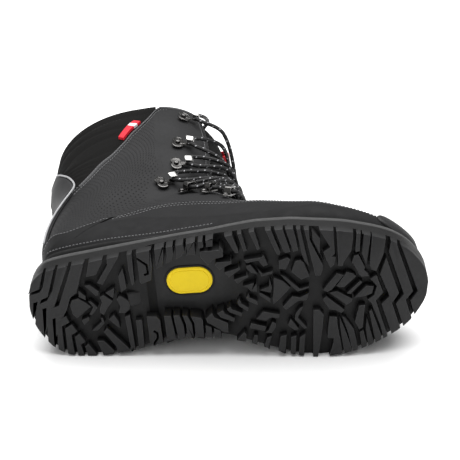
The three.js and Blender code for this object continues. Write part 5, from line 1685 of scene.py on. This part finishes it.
    def bumper(self) -> Solid:
        """The rubber cap round the toe."""
        def at(u: Array, v: Array) -> tuple[Array, Array]:
            """Sections and angles of the cap."""
            theta = v * 2 * math.pi
            reach = 0.9 + 2.1 * np.sin(theta) ** 2 - 0.3 * np.maximum(0, -np.cos(theta))
            return reach * u, theta

        rows = np.concatenate([np.linspace(0, 0.93, 24), [0.95, 0.97, 0.985, 1]])

        def outer(u: Array, v: Array) -> Array:
            """Depth of the outer face."""
            return 4.1 - 1.2 * (1 - rounded(0.5 + 0.5 * u, 60, 2))

        def shade(u: Array, v: Array) -> Array:
            """Shade over the face."""
            return 0.4 * smooth((u - 0.9) / 0.1)

        return Grid(at, outer, depth(2.4), rows, np.linspace(0, 1, 97), True, True, shade).build()

    def facing_at(self, sign: int) -> Callable[[Array, Array], tuple[Array, Array]]:
        """The facing's sheet: u up the throat and v away from its edge."""
        def at(u: Array, v: Array) -> tuple[Array, Array]:
            """Sections and angles of the sheet."""
            top_angle = 33.5 + self.facing_width * v
            top = np.minimum(RIM - 0.12, np.minimum(collar_line(top_angle), rim_at(top_angle * DEG)) - 0.12)
            s = along(THROAT + 0.45, top, u)
            edge = throat_angle(s) + 0.5
            width = self.facing_width * smooth((s - THROAT + 1) / 1.6)
            return s, sign * lerp(edge, edge + width, v) * DEG

        return at

    def facing(self, side: Side) -> Solid:
        """The thin leather under the hooks, folded over at the throat."""
        flat = self.facing_flat
        columns = edge_steps(26, flat, 1.1)

        def fold(v: Array) -> Array:
            """The folded edge beside the throat, a ridge with a sewn groove after it."""
            ridge = 0.7 * np.exp(-(((v * flat - 1.2) / 1.6) ** 2))
            return ridge - 0.3 * np.exp(-(((v * flat - 4) / 0.7) ** 2))

        def thin(u: Array, v: Array) -> Array:
            """How much of the leather is left toward its edges."""
            return smooth((1 - v) / 0.3) * smooth(u / 0.05)

        def outer(u: Array, v: Array) -> Array:
            """Depth of the outer face."""
            return 0.12 + 0.75 * rounded(v / 2, 2 * flat, 1.1) * thin(u, v) + fold(v) * smooth(u / 0.05)

        at = self.facing_at(side.value)
        return Grid(at, outer, depth(0.03), edge_steps(90, 240, 1.1), columns).build()

    def patch_at(self, u: Array, v: Array) -> tuple[Array, Array]:
        """The heel patch's sheet: u up the heel and v round it."""
        s = lerp(10.6, 13.55, u)
        return s, math.pi + lerp(-1, 1, v) * patch_half(s) * DEG

    def patch(self) -> Solid:
        """The heel patch, with the groove of its middle seam."""
        def outer(u: Array, v: Array) -> Array:
            """Depth with rounded edges and the middle seam."""
            middle = np.exp(-((np.abs(v - 0.5) / 0.012) ** 2))
            body = LAYERS.patch + 0.9 - 1.0 * (1 - rounded(v, 60, 1.4)) - 1.0 * (1 - rounded(u, 75, 1.4))
            return body - 0.7 * middle

        columns = np.union1d(edge_steps(36, 60, 1.4), np.linspace(0.46, 0.54, 13))
        return Grid(self.patch_at, outer, depth(0.6), edge_steps(40, 75, 1.4), columns).build()

    def piping(self) -> Solid:
        """The pale cord sewn round the heel patch."""
        run = np.linspace(0, 1, 40)
        s = lerp(10.7, 13.61, run)
        points = np.stack([s, 180 - patch_half(s) - 1.9], -1)
        points = np.concatenate([points, [[13.68, 170], [13.7, 180]]])
        mirrored = points[::-1][1:] * [1, -1] + [0, 360]
        route = np.concatenate([points, mirrored])
        path = surface(route[:, 0], route[:, 1] * DEG, 2.8 + 0.6)
        return tube(resampled(path, 1.6), 0.85, 10)

    def lining(self) -> Solid:
        """The knitted lining, seen down the shaft."""
        def at(u: Array, v: Array) -> tuple[Array, Array]:
            """Sections and angles of the lining."""
            theta = v * 2 * math.pi
            return along(0, rim_at(theta) - 0.3, u), theta

        rows = np.concatenate([np.linspace(0, 0.985, 70), [0.99, 0.996, 1]])
        return Grid(at, depth(-6.5), depth(-8.5), rows, np.linspace(0, 1, 97), True, True).build()

    def sewn(self, at: Callable, u: Array, v: Array, lift: float, thread: Thread | None = None) -> Solid:
        """Stitches along a line of a sheet.

        Args:
            at: the sheet's sections and angles.
            u: the line's shares one way.
            v: its shares the other way.
            lift: depth of the surface under the thread.
            thread: the kind of stitch.

        Returns:
            The stitches.
        """
        s, theta = at(u, v)
        return (thread or self.thread).row(surface(s, theta, lift), outward(s, theta, lift))

    def quarter_stitches(self, side: Side) -> list[Solid]:
        """The rows sewn below a quarter's top edge."""
        at = self.quarter_at(side.value)
        v = np.linspace(0.0, 0.72, 200)
        rows = []
        for below in (2.6, 5.4):
            top, theta = at(np.ones_like(v), v)
            s = top - below / section_length(top - 0.1, theta)
            lift = 1.5 if below < 4 else 0.1
            rows.append(self.fine_thread.row(surface(s, theta, lift), outward(s, theta, lift)))
        return rows

    def stitches(self) -> Solid:
        """All the pale rows of stitches on the upper."""
        line = np.linspace(0.015, 0.985, 260)
        rows: list[Solid] = []
        for side in Side:
            rows += self.quarter_stitches(side)
            for v in (0.05, 0.095):
                rows.append(self.sewn(self.rand_at(side.value), line, v + 0 * line, 1.5, self.fine_thread))
            rows.append(self.sewn(self.facing_at(side.value), line, 0.118 + 0 * line, 0.75, self.fine_thread))
        for v in (0.016, 0.984):
            rows.append(self.sewn(self.heel_at, line, v + 0 * line, 2.4, self.fine_thread))
        rows.append(self.sewn(self.heel_at, 0.95 + 0 * line, line, 2.5, self.fine_thread))
        return Solid.joined(rows)

    def patch_stitches(self) -> Solid:
        """The dark double row down the heel patch."""
        line = np.linspace(0.04, 0.96, 120)
        rows = [self.sewn(self.patch_at, line, v + 0 * line, 3.65) for v in (0.455, 0.545)]
        return Solid.joined(rows)

    def build(self, shop: Workshop) -> None:
        """Makes the upper's pieces."""
        shop.piece("vamp_leather", self.vamp(), "nubuck", "vamp", ["vamp"])
        for side in Side:
            name = side.label
            quarter = [f"quarter_{name}"]
            shop.piece(f"quarter_leather_{name}", self.quarter(side), "quarter", "quarter", quarter)
            shop.piece(f"quarter_binding_{name}", self.binding(side), "binding", "quarter")
            shop.piece(f"side_band_{name}", self.rand(side), "nubuck", "rand", [f"rand_{name}"])
            shop.piece(f"facing_leather_{name}", self.facing(side), "facing", "facing", [f"facing_{name}"])
        shop.piece("heel_band", self.heel_band(), "nubuck", "rand", ["heel_rand"])
        shop.piece("toe_cap", self.bumper(), "bumper", "toe_bumper", ["toe_bumper"])
        shop.piece("heel_patch_leather", self.patch(), "patch", "heel_patch", ["heel_patch"])
        shop.piece("patch_seam", self.patch_stitches(), "dark thread", "heel_patch")
        shop.piece("patch_piping", self.piping(), "piping", "heel_piping", ["heel_piping"])
        shop.piece("lining_knit", self.lining(), "lining", "lining", ["lining"])
        shop.piece("stitching", self.stitches(), "thread", "quarter")


# ---------------------------------------------------------------- padding


def inflate(piece: bpy.types.Object, pinned: Array, cap: float, pressure: float = 4) -> None:
    """Lets a padded piece settle under cloth simulation, held at its seams.

    The piece's own shape already carries its swell, and the cloth moves it by a fraction of a millimetre.

    Args:
        piece: the piece, a closed mesh.
        pinned: for each of its points, whether a seam holds it.
        cap: the furthest that a point may move, in millimetres.
        pressure: pressure inside the padding.
    """
    seams = piece.vertex_groups.new(name="seams")
    seams.add([int(i) for i in np.flatnonzero(pinned)], 1.0, "REPLACE")
    cloth = piece.modifiers.new("Cloth", "CLOTH")
    cloth.settings.use_pressure = True
    cloth.settings.uniform_pressure_force = pressure
    cloth.settings.effector_weights.gravity = 0
    cloth.settings.vertex_group_mass = seams.name
    cloth.settings.tension_stiffness = 8
    cloth.settings.compression_stiffness = 8
    cloth.point_cache.frame_end = 20
    scene = bpy.context.scene
    for step in range(1, 21):
        scene.frame_set(step)
    evaluated = piece.evaluated_get(bpy.context.evaluated_depsgraph_get())
    count = len(piece.data.vertices)
    rest, moved = np.empty(count * 3), np.empty(count * 3)
    piece.data.vertices.foreach_get("co", rest)
    evaluated.data.vertices.foreach_get("co", moved)
    shift = (moved - rest).reshape(-1, 3)
    far = np.linalg.norm(shift, axis=1, keepdims=True)
    shift *= np.minimum(1, cap * MM / np.maximum(far, 1e-9))
    piece.modifiers.remove(cloth)
    scene.frame_set(1)
    piece.data.vertices.foreach_set("co", (rest.reshape(-1, 3) + shift).ravel())
    piece.data.update()
    log.info("%s: padding moved up to %.1f mm", piece.name, float(far.max()) / MM)


@dataclass(frozen=True)
class Collar:
    """The padded collar, with channels sewn parallel to the rim."""

    start: float = 77
    end: float = 283
    channel: float = 17
    swell: float = 1.5
    middle: float = -2.4
    inner: float = 2.6
    edge: float = 3.2
    thread_depth: float = -0.75
    cap: float = 1.8

    def at(self, u: Array, v: Array) -> tuple[Array, Array]:
        """Sections and angles: u up to the rim, v round the back."""
        degrees = lerp(self.start, self.end, v)
        theta = degrees * DEG
        low = collar_line(np.minimum(degrees, 360 - degrees)) + 0.05
        return along(low, rim_at(theta), u), theta

    def below_rim(self, u: Array, v: Array) -> Array:
        """Millimetres below the rim."""
        s, theta = self.at(u, v)
        return (rim_at(theta) - s) * section_length(np.minimum(s, RIM - 0.06), theta)

    def seam_distance(self, u: Array, v: Array) -> Array:
        """Millimetres from the nearest channel seam."""
        away = self.below_rim(u, v) - self.channel * 0.75
        return np.abs(away - self.channel * np.round(np.maximum(0, away / self.channel)))

    def pillow(self, u: Array, v: Array) -> Array:
        """How far a channel swells, from 0 at its seams to 1."""
        return np.minimum(1, self.seam_distance(u, v) / (0.34 * self.channel)) ** 0.55

    def outer(self, u: Array, v: Array) -> Array:
        """Depth of the outer face."""
        full = -self.middle - 0.7 + self.swell * self.pillow(u, v)
        low_edge = 0.55 + 0.45 * rounded(0.5 * np.minimum(1, u), 60, self.edge)
        return self.middle + full * rounded((1 + u) / 2, 120, self.edge) * low_edge

    def build(self, shop: Workshop) -> None:
        """Makes the collar and its seams."""
        rows = np.concatenate([np.linspace(0, 0.94, 52), np.linspace(0.95, 0.985, 4), [0.992, 0.997, 1]])
        columns = np.linspace(0, 1, 124)

        def inner(u: Array, v: Array) -> Array:
            """Depth of the inner face."""
            return self.middle - self.inner * rounded((1 + u) / 2, 120, self.edge)

        u, v = np.meshgrid(rows, columns, indexing="ij")
        solid = Grid(self.at, self.outer, inner, rows, columns).build()
        piece = shop.piece("collar_padding", solid, "collar", "collar", ["collar"], sharp=80)
        edges = (u < 0.03) | (u > 0.985) | (v < 0.012) | (v > 0.988)
        held = edges | (self.seam_distance(u, v) < 1.3)
        inflate(piece, np.concatenate([held.ravel(), np.ones(held.size, bool)]), self.cap)
        shop.piece("collar_seams", self.seams(), "dark thread", "collar")

    def seams(self) -> Solid:
        """Thread along the channels."""
        v = np.linspace(0.03, 0.97, 400)
        rows = []
        for k in (0.75, 1.75, 2.75):
            theta = lerp(self.start, self.end, v) * DEG
            s = rim_at(theta) - self.channel * k / section_length(rim_at(theta) - 0.6, theta)
            low, _ = self.at(0 * v, v)
            kept = s > low + 0.15
            if kept.sum() > 20:
                points = surface(s[kept], theta[kept], self.thread_depth)
                out = outward(s[kept], theta[kept], self.thread_depth)
                rows.append(Thread(3.0, 0.7, 0.36).row(points, out))
        return Solid.joined(rows)


@dataclass(frozen=True)
class Tongue:
    """The padded tongue, with its pull loop."""

    start: float = 7.35
    end: float = 16.65
    gap: float = 3.5
    seams: tuple[float, ...] = (0.27, 0.73)
    loop_middle: float = 15.78
    loop_reach: float = 0.27

    def at(self, u: Array, v: Array) -> tuple[Array, Array]:
        """Sections and angles: u up the tongue and v across it."""
        s = along(self.start, self.end, u)
        half = (throat_angle(s) - self.gap) * DEG
        return s, lerp(-half, half, v)

    def seam_distance(self, v: Array) -> Array:
        """Share of the width to the nearest seam."""
        return np.min([np.abs(v - place) for place in self.seams], 0)

    def outer(self, u: Array, v: Array) -> Array:
        """Depth of the outer face."""
        pillow = np.minimum(1, self.seam_distance(v) / 0.09) ** 0.6
        s, _ = self.at(u, v)
        dome = 6.2 * smooth((s - 7.9) / 1.2) * (0.35 + 0.65 * smooth((16.9 - s) / 1.0))
        body = LAYERS.tongue_out - 0.9 + 0.9 * pillow + dome * rounded(v, 55, 20)
        return body - 1.0 * (1 - rounded(v, 55, 2)) - 1.0 * (1 - rounded(u, 260, 2.4))

    def loop(self) -> Solid:
        """The webbing loop at the tongue's top, with a pale bar across it."""
        t, v = np.meshgrid(np.linspace(0, 1, 33), np.linspace(0, 1, 9), indexing="ij")
        theta = lerp(-5.2, 7.2, v) * DEG
        arc = np.sin(math.pi * t) ** 0.75
        round_edge = 1 - 0.35 * (1 - rounded(v, 11, 1))
        layers = []
        for reach, lift in ((self.loop_reach, 12.4), (self.loop_reach - 0.045, 11.3)):
            scale = round_edge if lift > 12 else 2 - round_edge
            s = self.loop_middle - reach * np.cos(math.pi * t)
            layers.append(surface(s, theta, LAYERS.tongue_out + 0.3 + lift * arc * (0.94 + 0.06 * scale)))
        shade = 1 - ((t > 0.3) & (t < 0.4)).astype(float)
        return closed_grid(layers, False, False, shade)

    def build(self, shop: Workshop) -> None:
        """Makes the tongue and its loop."""
        rows, columns = edge_steps(90, 260, 2.4), edge_steps(34, 55, 2)
        u, v = np.meshgrid(rows, columns, indexing="ij")

        def inner(u: Array, v: Array) -> Array:
            """Depth of the inner face."""
            return LAYERS.tongue_in + 2.5 * smooth((u - 0.1) / 0.1) * rounded(v, 55, 20)

        solid = Grid(self.at, self.outer, inner, rows, columns).build()
        piece = shop.piece("tongue_padding", solid, "tongue", "tongue", ["tongue"], sharp=80)
        held = (u < 0.01) | (u > 0.99) | (v < 0.04) | (v > 0.96) | (self.seam_distance(v) < 0.02)
        inflate(piece, np.concatenate([held.ravel(), np.ones(held.size, bool)]), 1.4)
        shop.piece("pull_loop", self.loop(), "label", "pull_tab", ["pull_tab"], sharp=60)


@dataclass(frozen=True)
class SideLabel:
    """The small woven label sewn along the quarter's top edge."""

    def build(self, shop: Workshop) -> None:
        """Makes the label."""
        def at(u: Array, v: Array) -> tuple[Array, Array]:
            """Sections and angles of the label."""
            return lerp(15.28, 14.2, u) + 0.1 * v, (lerp(87, 95, u) + 2.9 * v) * DEG

        def outer(u: Array, v: Array) -> Array:
            """Depth of the outer face."""
            return 2.9 + 0.8 * rounded(u, 24, 0.7) * rounded(v, 8, 0.7)

        def shade(u: Array, v: Array) -> Array:
            """Shade over the face."""
            return 1 - ((u > 0.2) & (u < 0.36)).astype(float)

        rows = np.union1d(edge_steps(24, 24, 0.7), [0.199, 0.201, 0.359, 0.361])
        solid = Grid(at, outer, depth(1.0), rows, edge_steps(8, 8, 0.7), shade=shade).build()
        shop.piece("woven_label", solid, "label", "side_label", ["side_label"], sharp=60)


# ---------------------------------------------------------------- lacing


class FittingKind(Enum):
    """The two kinds of lacing hardware."""

    ROLLER = "roller"
    HOOK = "hook"


@dataclass(frozen=True)
class Fitting:
    """Where one fitting sits on each facing."""

    kind: FittingKind
    section: float
    angle: float

    def frame(self, side: Side) -> tuple[Array, int]:
        """The fitting's axes on the facing: u towards the throat, v along it and n outwards.

        Args:
            side: the boot's side.

        Returns:
            A 4 by 4 matrix, and 1 where v points up the throat or -1.
        """
        sign = side.value
        theta = sign * self.angle * DEG
        origin = surface(self.section, theta, LAYERS.fitting)
        u = surface(self.section, theta - sign * 0.02, 2.9) - surface(self.section, theta + sign * 0.02, 2.9)
        u /= np.linalg.norm(u)
        upward = surface(self.section + 0.02, theta, 2.9) - surface(self.section - 0.02, theta, 2.9)
        n = np.cross(u, upward)
        n /= np.linalg.norm(n)
        if n @ (origin - surface(self.section, theta, LAYERS.fitting - 5)) < 0:
            n = -n
        v = np.cross(n, u)
        matrix = np.eye(4)
        matrix[:3, 0], matrix[:3, 1], matrix[:3, 2], matrix[:3, 3] = u, v, n, origin
        return matrix, -1 if v @ upward < 0 else 1


FITTINGS = (
    Fitting(FittingKind.ROLLER, 8.1, 56),
    Fitting(FittingKind.ROLLER, 8.95, 57),
    Fitting(FittingKind.ROLLER, 9.75, 62),
    Fitting(FittingKind.HOOK, 10.8, 73),
    Fitting(FittingKind.HOOK, 12.15, 68),
    Fitting(FittingKind.HOOK, 13.93, 65),
    Fitting(FittingKind.HOOK, 16.1, 57),
)


def strip(
    path: Sequence[tuple[float, float]], widths: Sequence[float], thick: float, ribs: float = 0
) -> Solid:
    """A bent strip of metal, drawn from the side.

    Args:
        path: u and z of its middle line.
        widths: its width at each of those points.
        thick: its thickness.
        ribs: height of the ribs along its outer face.

    Returns:
        The closed mesh.
    """
    ends = np.array([(u, 0, z) for u, z in path], float)
    line = catmull(ends, 6)
    wide = np.interp(np.linspace(0, 1, len(line)), np.linspace(0, 1, len(widths)), widths)
    tangent = np.gradient(line, axis=0)
    tangent /= np.linalg.norm(tangent, axis=1, keepdims=True)
    normal = np.stack([-tangent[:, 2], 0 * tangent[:, 0], tangent[:, 0]], -1)
    share = np.concatenate([[0, 0.03, 0.08], np.linspace(0.12, 0.88, 29), [0.92, 0.97, 1]])
    across = (share - 0.5)[None, :, None] * wide[:, None, None] * np.array([0, 1, 0])
    bevel = thick / 2 * (0.45 + 0.55 * rounded(share, 6, 0.7))
    wave = ribs * (0.5 - 0.5 * np.cos(share * 2 * math.pi * 4)) * (np.abs(share - 0.5) < 0.5)
    middle = line[:, None] + across
    outer = middle - normal[:, None] * (bevel + wave - ribs * 0.5)[None, :, None]
    inner = middle + normal[:, None] * bevel[None, :, None]
    return closed_grid([outer, inner], False, False)


@dataclass(frozen=True)
class Hardware:
    """Hooks, roller clips, rollers and rivets."""

    plate_radius: float = 5
    spread: float = 3.6
    metal: float = 1.1
    roller_at: float = 11

    def plate(self) -> Solid:
        """The hook's plate: two rounds joined, with a bevelled rim and a recess."""
        angles = np.arange(56) / 56 * 2 * math.pi
        reach = self.spread * np.abs(np.sin(angles))
        reach = reach + np.sqrt(self.plate_radius**2 - (self.spread * np.cos(angles)) ** 2)
        rings = []
        for inset, z in ((0, 0), (0, 0.62), (0.14, 0.92), (0.45, 1.1), (1.15, 1.1), (1.5, 0.82), (2.4, 0.78)):
            r = reach - inset
            rings.append(np.stack([r * np.cos(angles), r * np.sin(angles), np.full(56, z)], -1))
        return ring_stack(rings)

    def arm(self) -> Solid:
        """The hook's arm and neck."""
        path = [(2.5, 0.55), (6, 0.55), (9.5, 0.55), (12.3, 0.62), (13.3, 1.5), (13.45, 3), (13.45, 4.6)]
        return strip(path, [5.6, 4.9, 4.6, 4.6, 4.6, 4.8, 5.2], self.metal)

    def head(self) -> Solid:
        """The hook's ribbed head, bent back over the lace."""
        path = [(13.45, 4.1), (13.4, 5.2), (12.9, 6.1), (11.8, 6.35), (9.6, 6.35), (7.6, 6.3), (6.9, 6.15)]
        return strip(path, [5.4, 6.6, 7.3, 7.4, 7.4, 7.2, 6.2], self.metal, 0.34)

    def rivet(self) -> Solid:
        """A domed rivet head with a dimple."""
        stem = [(1.2, -0.3), (1.2, 1.35)]
        dome = [(2.25, 1.4), (2.3, 1.7), (2.1, 2.2), (1.6, 2.55), (0.9, 2.7), (0.5, 2.6)]
        return lathe(stem + dome, 28)

    def clip(self) -> Solid:
        """The roller's clip: base, wall and roof."""
        half = 3.2
        corners = [(-4.6 + 1.6, -half), (13.0, -half), (13.6, -half + 0.6), (13.6, half - 0.6), (13.0, half),
                   (-4.6 + 1.6, half), (-4.6 + 0.4, half - 1.4), (-4.6, 0), (-4.6 + 0.4, -half + 1.4)]
        outline = np.array(corners)
        rings = [
            np.column_stack([stood_off(outline, inset), np.full(len(outline), z)])
            for inset, z in ((0, 0), (0, 0.8), (0.25, 1.1))
        ]
        roof = [(2.8, 0.4), (2.8, 3), (2.85, 5.4), (3.5, 6.7), (5.2, 6.95), (9, 6.95), (13.6, 6.95)]
        cover = strip(roof, [6.4, 6.4, 6.4, 6.4, 6.4, 6.4, 5.0], self.metal)
        pin = lathe([(1.0, 0.2), (1.0, 7.2), (1.7, 7.5), (1.6, 7.8), (0.8, 8.0)], 20)
        pin.points = pin.points + np.array([self.roller_at, 0, 0])
        rivet = self.rivet()
        rivet.points = rivet.points + np.array([-1.2, 0, 0])
        return Solid.joined([ring_stack(rings), cover, pin, rivet])

    def roller(self) -> Solid:
        """The grooved roller with its bore."""
        profile = [(1.3, 1.4), (2.5, 1.4), (2.7, 1.55), (2.65, 1.9), (2.35, 2.6), (2.2, 3.75), (2.35, 4.9),
                   (2.65, 5.6), (2.7, 5.95), (2.5, 6.1), (1.3, 6.1)]
        solid = lathe(profile, 32)
        count = 32
        last = (len(profile) - 1) * count
        solid.faces = solid.faces[:-2]
        solid.corners = solid.corners[:-2]
        for j in range(count):
            k = (j + 1) % count
            solid.faces.append((last + j, last + k, k, j))
            solid.corners.append(((j, 0.0), (j + 1, 0.0), (j + 1, 5.0), (j, 5.0)))
        solid.points = solid.points + np.array([self.roller_at, 0, 0])
        return solid

    def build(self, shop: Workshop) -> None:
        """Makes every fitting."""
        for side in Side:
            for number, fitting in enumerate(FITTINGS, 1):
                matrix, _ = fitting.frame(side)
                label = f"{side.label}_{number}"
                if fitting.kind is FittingKind.HOOK:
                    plate = Solid.joined([self.plate(), self.arm()]).moved(matrix)
                    shop.piece(f"hook_plate_{label}", plate, "gunmetal", "lace_hook", [f"hook_{label}"])
                    shop.piece(f"hook_head_{label}", self.head().moved(matrix), "steel", "lace_hook")
                    rivet = self.rivet().moved(matrix)
                    shop.piece(f"rivet_head_{label}", rivet, "gunmetal", "rivet", [f"rivet_{label}"])
                    continue
                clip = self.clip().moved(matrix)
                shop.piece(f"roller_housing_{label}", clip, "gunmetal", "roller_clip", [f"clip_{label}"])
                roller = self.roller().moved(matrix)
                body = f"roller_{label}"
                shop.piece(f"steel_roller_{label}", roller, "steel", "lace_roller", [body], body)


@dataclass(frozen=True)
class Lace:
    """The braided lace, all the way from one hidden tip to the other."""

    radius: float = LACE_RADIUS
    height: float = 3.45
    over: float = 14.4
    under: float = 10.3
    cross_angle: float = 27
    turns: dict[FittingKind, tuple[tuple[float, float], ...]] = field(
        default_factory=lambda: {
            FittingKind.HOOK: ((15.6, -6.4), (10.2, -2.3), (10.2, 2.3), (15.6, 6.4)),
            FittingKind.ROLLER: ((8.4, -5.2), (6.1, 0), (8.4, 5.2)),
        }
    )
    tails: dict[Side, tuple[tuple[float, float, float], ...]] = field(
        default_factory=lambda: {
            Side.OUTER: (
                (16.93, 27, 4.5), (17.12, 22, -3), (16.98, 17, -10.4), (16.2, 6, -11.5), (15.3, -18, -11.5),
                (14.3, -40, -11.5), (13.2, -58, -11.5), (12.2, -66, -11.5), (11.4, -68, -11.5),
            ),
            Side.INNER: (
                (16.93, -27, 4.5), (17.12, -23, -3), (16.98, -20, -10.4), (16.4, -36, -11.5),
                (15.8, -58, -11.5), (14.9, -78, -11.5), (13.8, -88, -11.5), (12.7, -90, -11.5),
                (11.8, -88, -11.5),
            ),
        }
    )
    tip_length: float = 22
    tip_gap: float = 0.3

    def strand(self, start: Side) -> list[Array]:
        """Half of the lace, from the lowest crossing to its tip.

        Args:
            start: the side of its first roller.

        Returns:
            The points it passes through.
        """
        points: list[Array] = []
        side = start
        for i, fitting in enumerate(FITTINGS):
            matrix, up = fitting.frame(side)
            turns = self.turns[fitting.kind]
            points += [matrix[:3, :3] @ [u, v * up, self.height] + matrix[:3, 3] for u, v in turns]
            if i == len(FITTINGS) - 1:
                break
            lift = self.over if (side is Side.OUTER) == (i % 2 == 0) else self.under
            for t, sign in ((0.3, 1), (0.7, -1)):
                s = lerp(fitting.section, FITTINGS[i + 1].section, t)
                points.append(surface(s, side.value * sign * self.cross_angle * DEG, lift))
            side = Side(-side.value)
        points += [surface(s, angle * DEG, d) for s, angle, d in self.tails[side]]
        return points

    def route(self) -> Array:
        """Every point the lace passes through, tip to tip."""
        s = FITTINGS[0].section - 0.28
        lowest = [surface(s, angle * DEG, d) for angle, d in ((-29, 7.4), (0, 5.0), (29, 7.4))]
        return np.array([*self.strand(Side.INNER)[::-1], *lowest, *self.strand(Side.OUTER)])

    def tip(self, end: Array, before: Array) -> Solid:
        """One of the lace's tips."""
        direction = (end - before) / np.linalg.norm(end - before)
        marks = np.array([0, 0.02, 0.06, 0.5, 0.93, 0.98, 1])
        radii = np.array([1.75, 1.9, 1.9, 1.85, 1.9, 1.6, 1.1])
        return tube(end + direction * (self.tip_gap + marks * self.tip_length)[:, None], radii, 20)

    def build(self, shop: Workshop) -> None:
        """Makes the lace and its tips."""
        route = self.route()
        path = resampled(catmull(route, 14), 1.1)
        length = np.linalg.norm(np.diff(path, axis=0), axis=1).sum()
        log.info("lace: %.0f mm tip to tip", length)
        shop.piece("braided_lace", tube(path, self.radius, 14), "lace", "lace", ["lace"], sharp=80)
        for number, (end, before) in enumerate(((route[0], route[1]), (route[-1], route[-2])), 1):
            shop.piece(f"lace_tip_{number}", self.tip(end, before), "aglet", "aglet", [f"aglet_{number}"])


# ---------------------------------------------------------------- stage and camera


@dataclass(frozen=True)
class Studio:
    """The pale floor, the soft lights and the camera."""

    target: tuple[float, float, float] = (0.00628, -0.14088, 0.11233)
    azimuth: float = 1.39
    elevation: float = 26.68
    roll: float = -0.54
    distance: float = 1.0
    lens: float = 103.9
    floor_half: float = 6
    surroundings: float = 0.32

    def floor(self) -> None:
        """The pale floor."""
        half = self.floor_half
        mesh = bpy.data.meshes.new("floor")
        corners = [(-half, -half, 0), (half, -half, 0), (half, half, 0), (-half, half, 0)]
        mesh.from_pydata(corners, [], [(0, 1, 2, 3)])
        graph = Graph("studio floor")
        cloud = graph.noise(900, 2)
        tone = graph.mixed(cloud, (0.93, 0.93, 0.93), (0.96, 0.96, 0.96))
        mesh.materials.append(graph.close(tone, 0.9, None, Specular_IOR_Level=0.1))
        floor = bpy.data.objects.new("floor", mesh)
        bpy.context.scene.collection.objects.link(floor)
        floor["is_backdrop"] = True

    def lamp(self, name: str, place: tuple, size: float, power: float) -> None:
        """A square area light that faces the boot.

        Args:
            name: its name.
            place: where it hangs, in metres.
            size: its side in metres.
            power: its power in watts.
        """
        data = bpy.data.lights.new(name, "AREA")
        data.size = size
        data.energy = power
        lamp = bpy.data.objects.new(name, data)
        bpy.context.scene.collection.objects.link(lamp)
        lamp.location = place
        aim = Vector(self.target) - Vector(place)
        lamp.rotation_euler = aim.to_track_quat("-Z", "Y").to_euler()

    def world(self) -> None:
        """The near-white surroundings."""
        world = bpy.data.worlds.new("surroundings")
        world.use_nodes = True
        background = world.node_tree.nodes["Background"]
        background.inputs["Color"].default_value = (1, 1, 1, 1)
        background.inputs["Strength"].default_value = self.surroundings
        bpy.context.scene.world = world
        bpy.context.scene.view_settings.view_transform = "Standard"

    def camera(self) -> None:
        """The camera."""
        data = bpy.data.cameras.new("camera")
        data.lens = self.lens
        data.sensor_width = 36
        camera = bpy.data.objects.new("camera", data)
        bpy.context.scene.collection.objects.link(camera)
        lift, turn = self.elevation * DEG, self.azimuth * DEG
        away = Vector((math.sin(turn) * math.cos(lift), -math.cos(turn) * math.cos(lift), math.sin(lift)))
        camera.location = Vector(self.target) + away * self.distance
        aim = (-away).to_track_quat("-Z", "Y").to_matrix() @ Matrix.Rotation(self.roll * DEG, 3, "Z")
        camera.rotation_euler = aim.to_euler()
        bpy.context.scene.camera = camera

    def build(self) -> None:
        """Makes the whole stage."""
        self.camera()
        self.floor()
        self.world()
        self.lamp("overhead", (0.05, 0.3, 2.0), 2.6, 95)
        self.lamp("front", (-0.6, -1.6, 1.1), 1.0, 6)


KEPT_NODES = {
    "insole_board": "board",
    "heel_counter": "stiffener",
    "toe_puff": "stiffener",
    "shank": "steel",
    "footbed": "footbed",
}


def main() -> None:
    """Builds the boot's looks on the frame."""
    logging.basicConfig(level=logging.INFO, format="%(message)s")
    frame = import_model()
    Studio().build()
    shop = Workshop(Placement.from_frame())
    for part in (Sole(), Upper(), Collar(), Tongue(), SideLabel(), Hardware(), Lace()):
        part.build(shop)
    for name, finish in KEPT_NODES.items():
        shop.dress(frame["nodes"], name, finish)


if __name__ == "__main__":
    main()
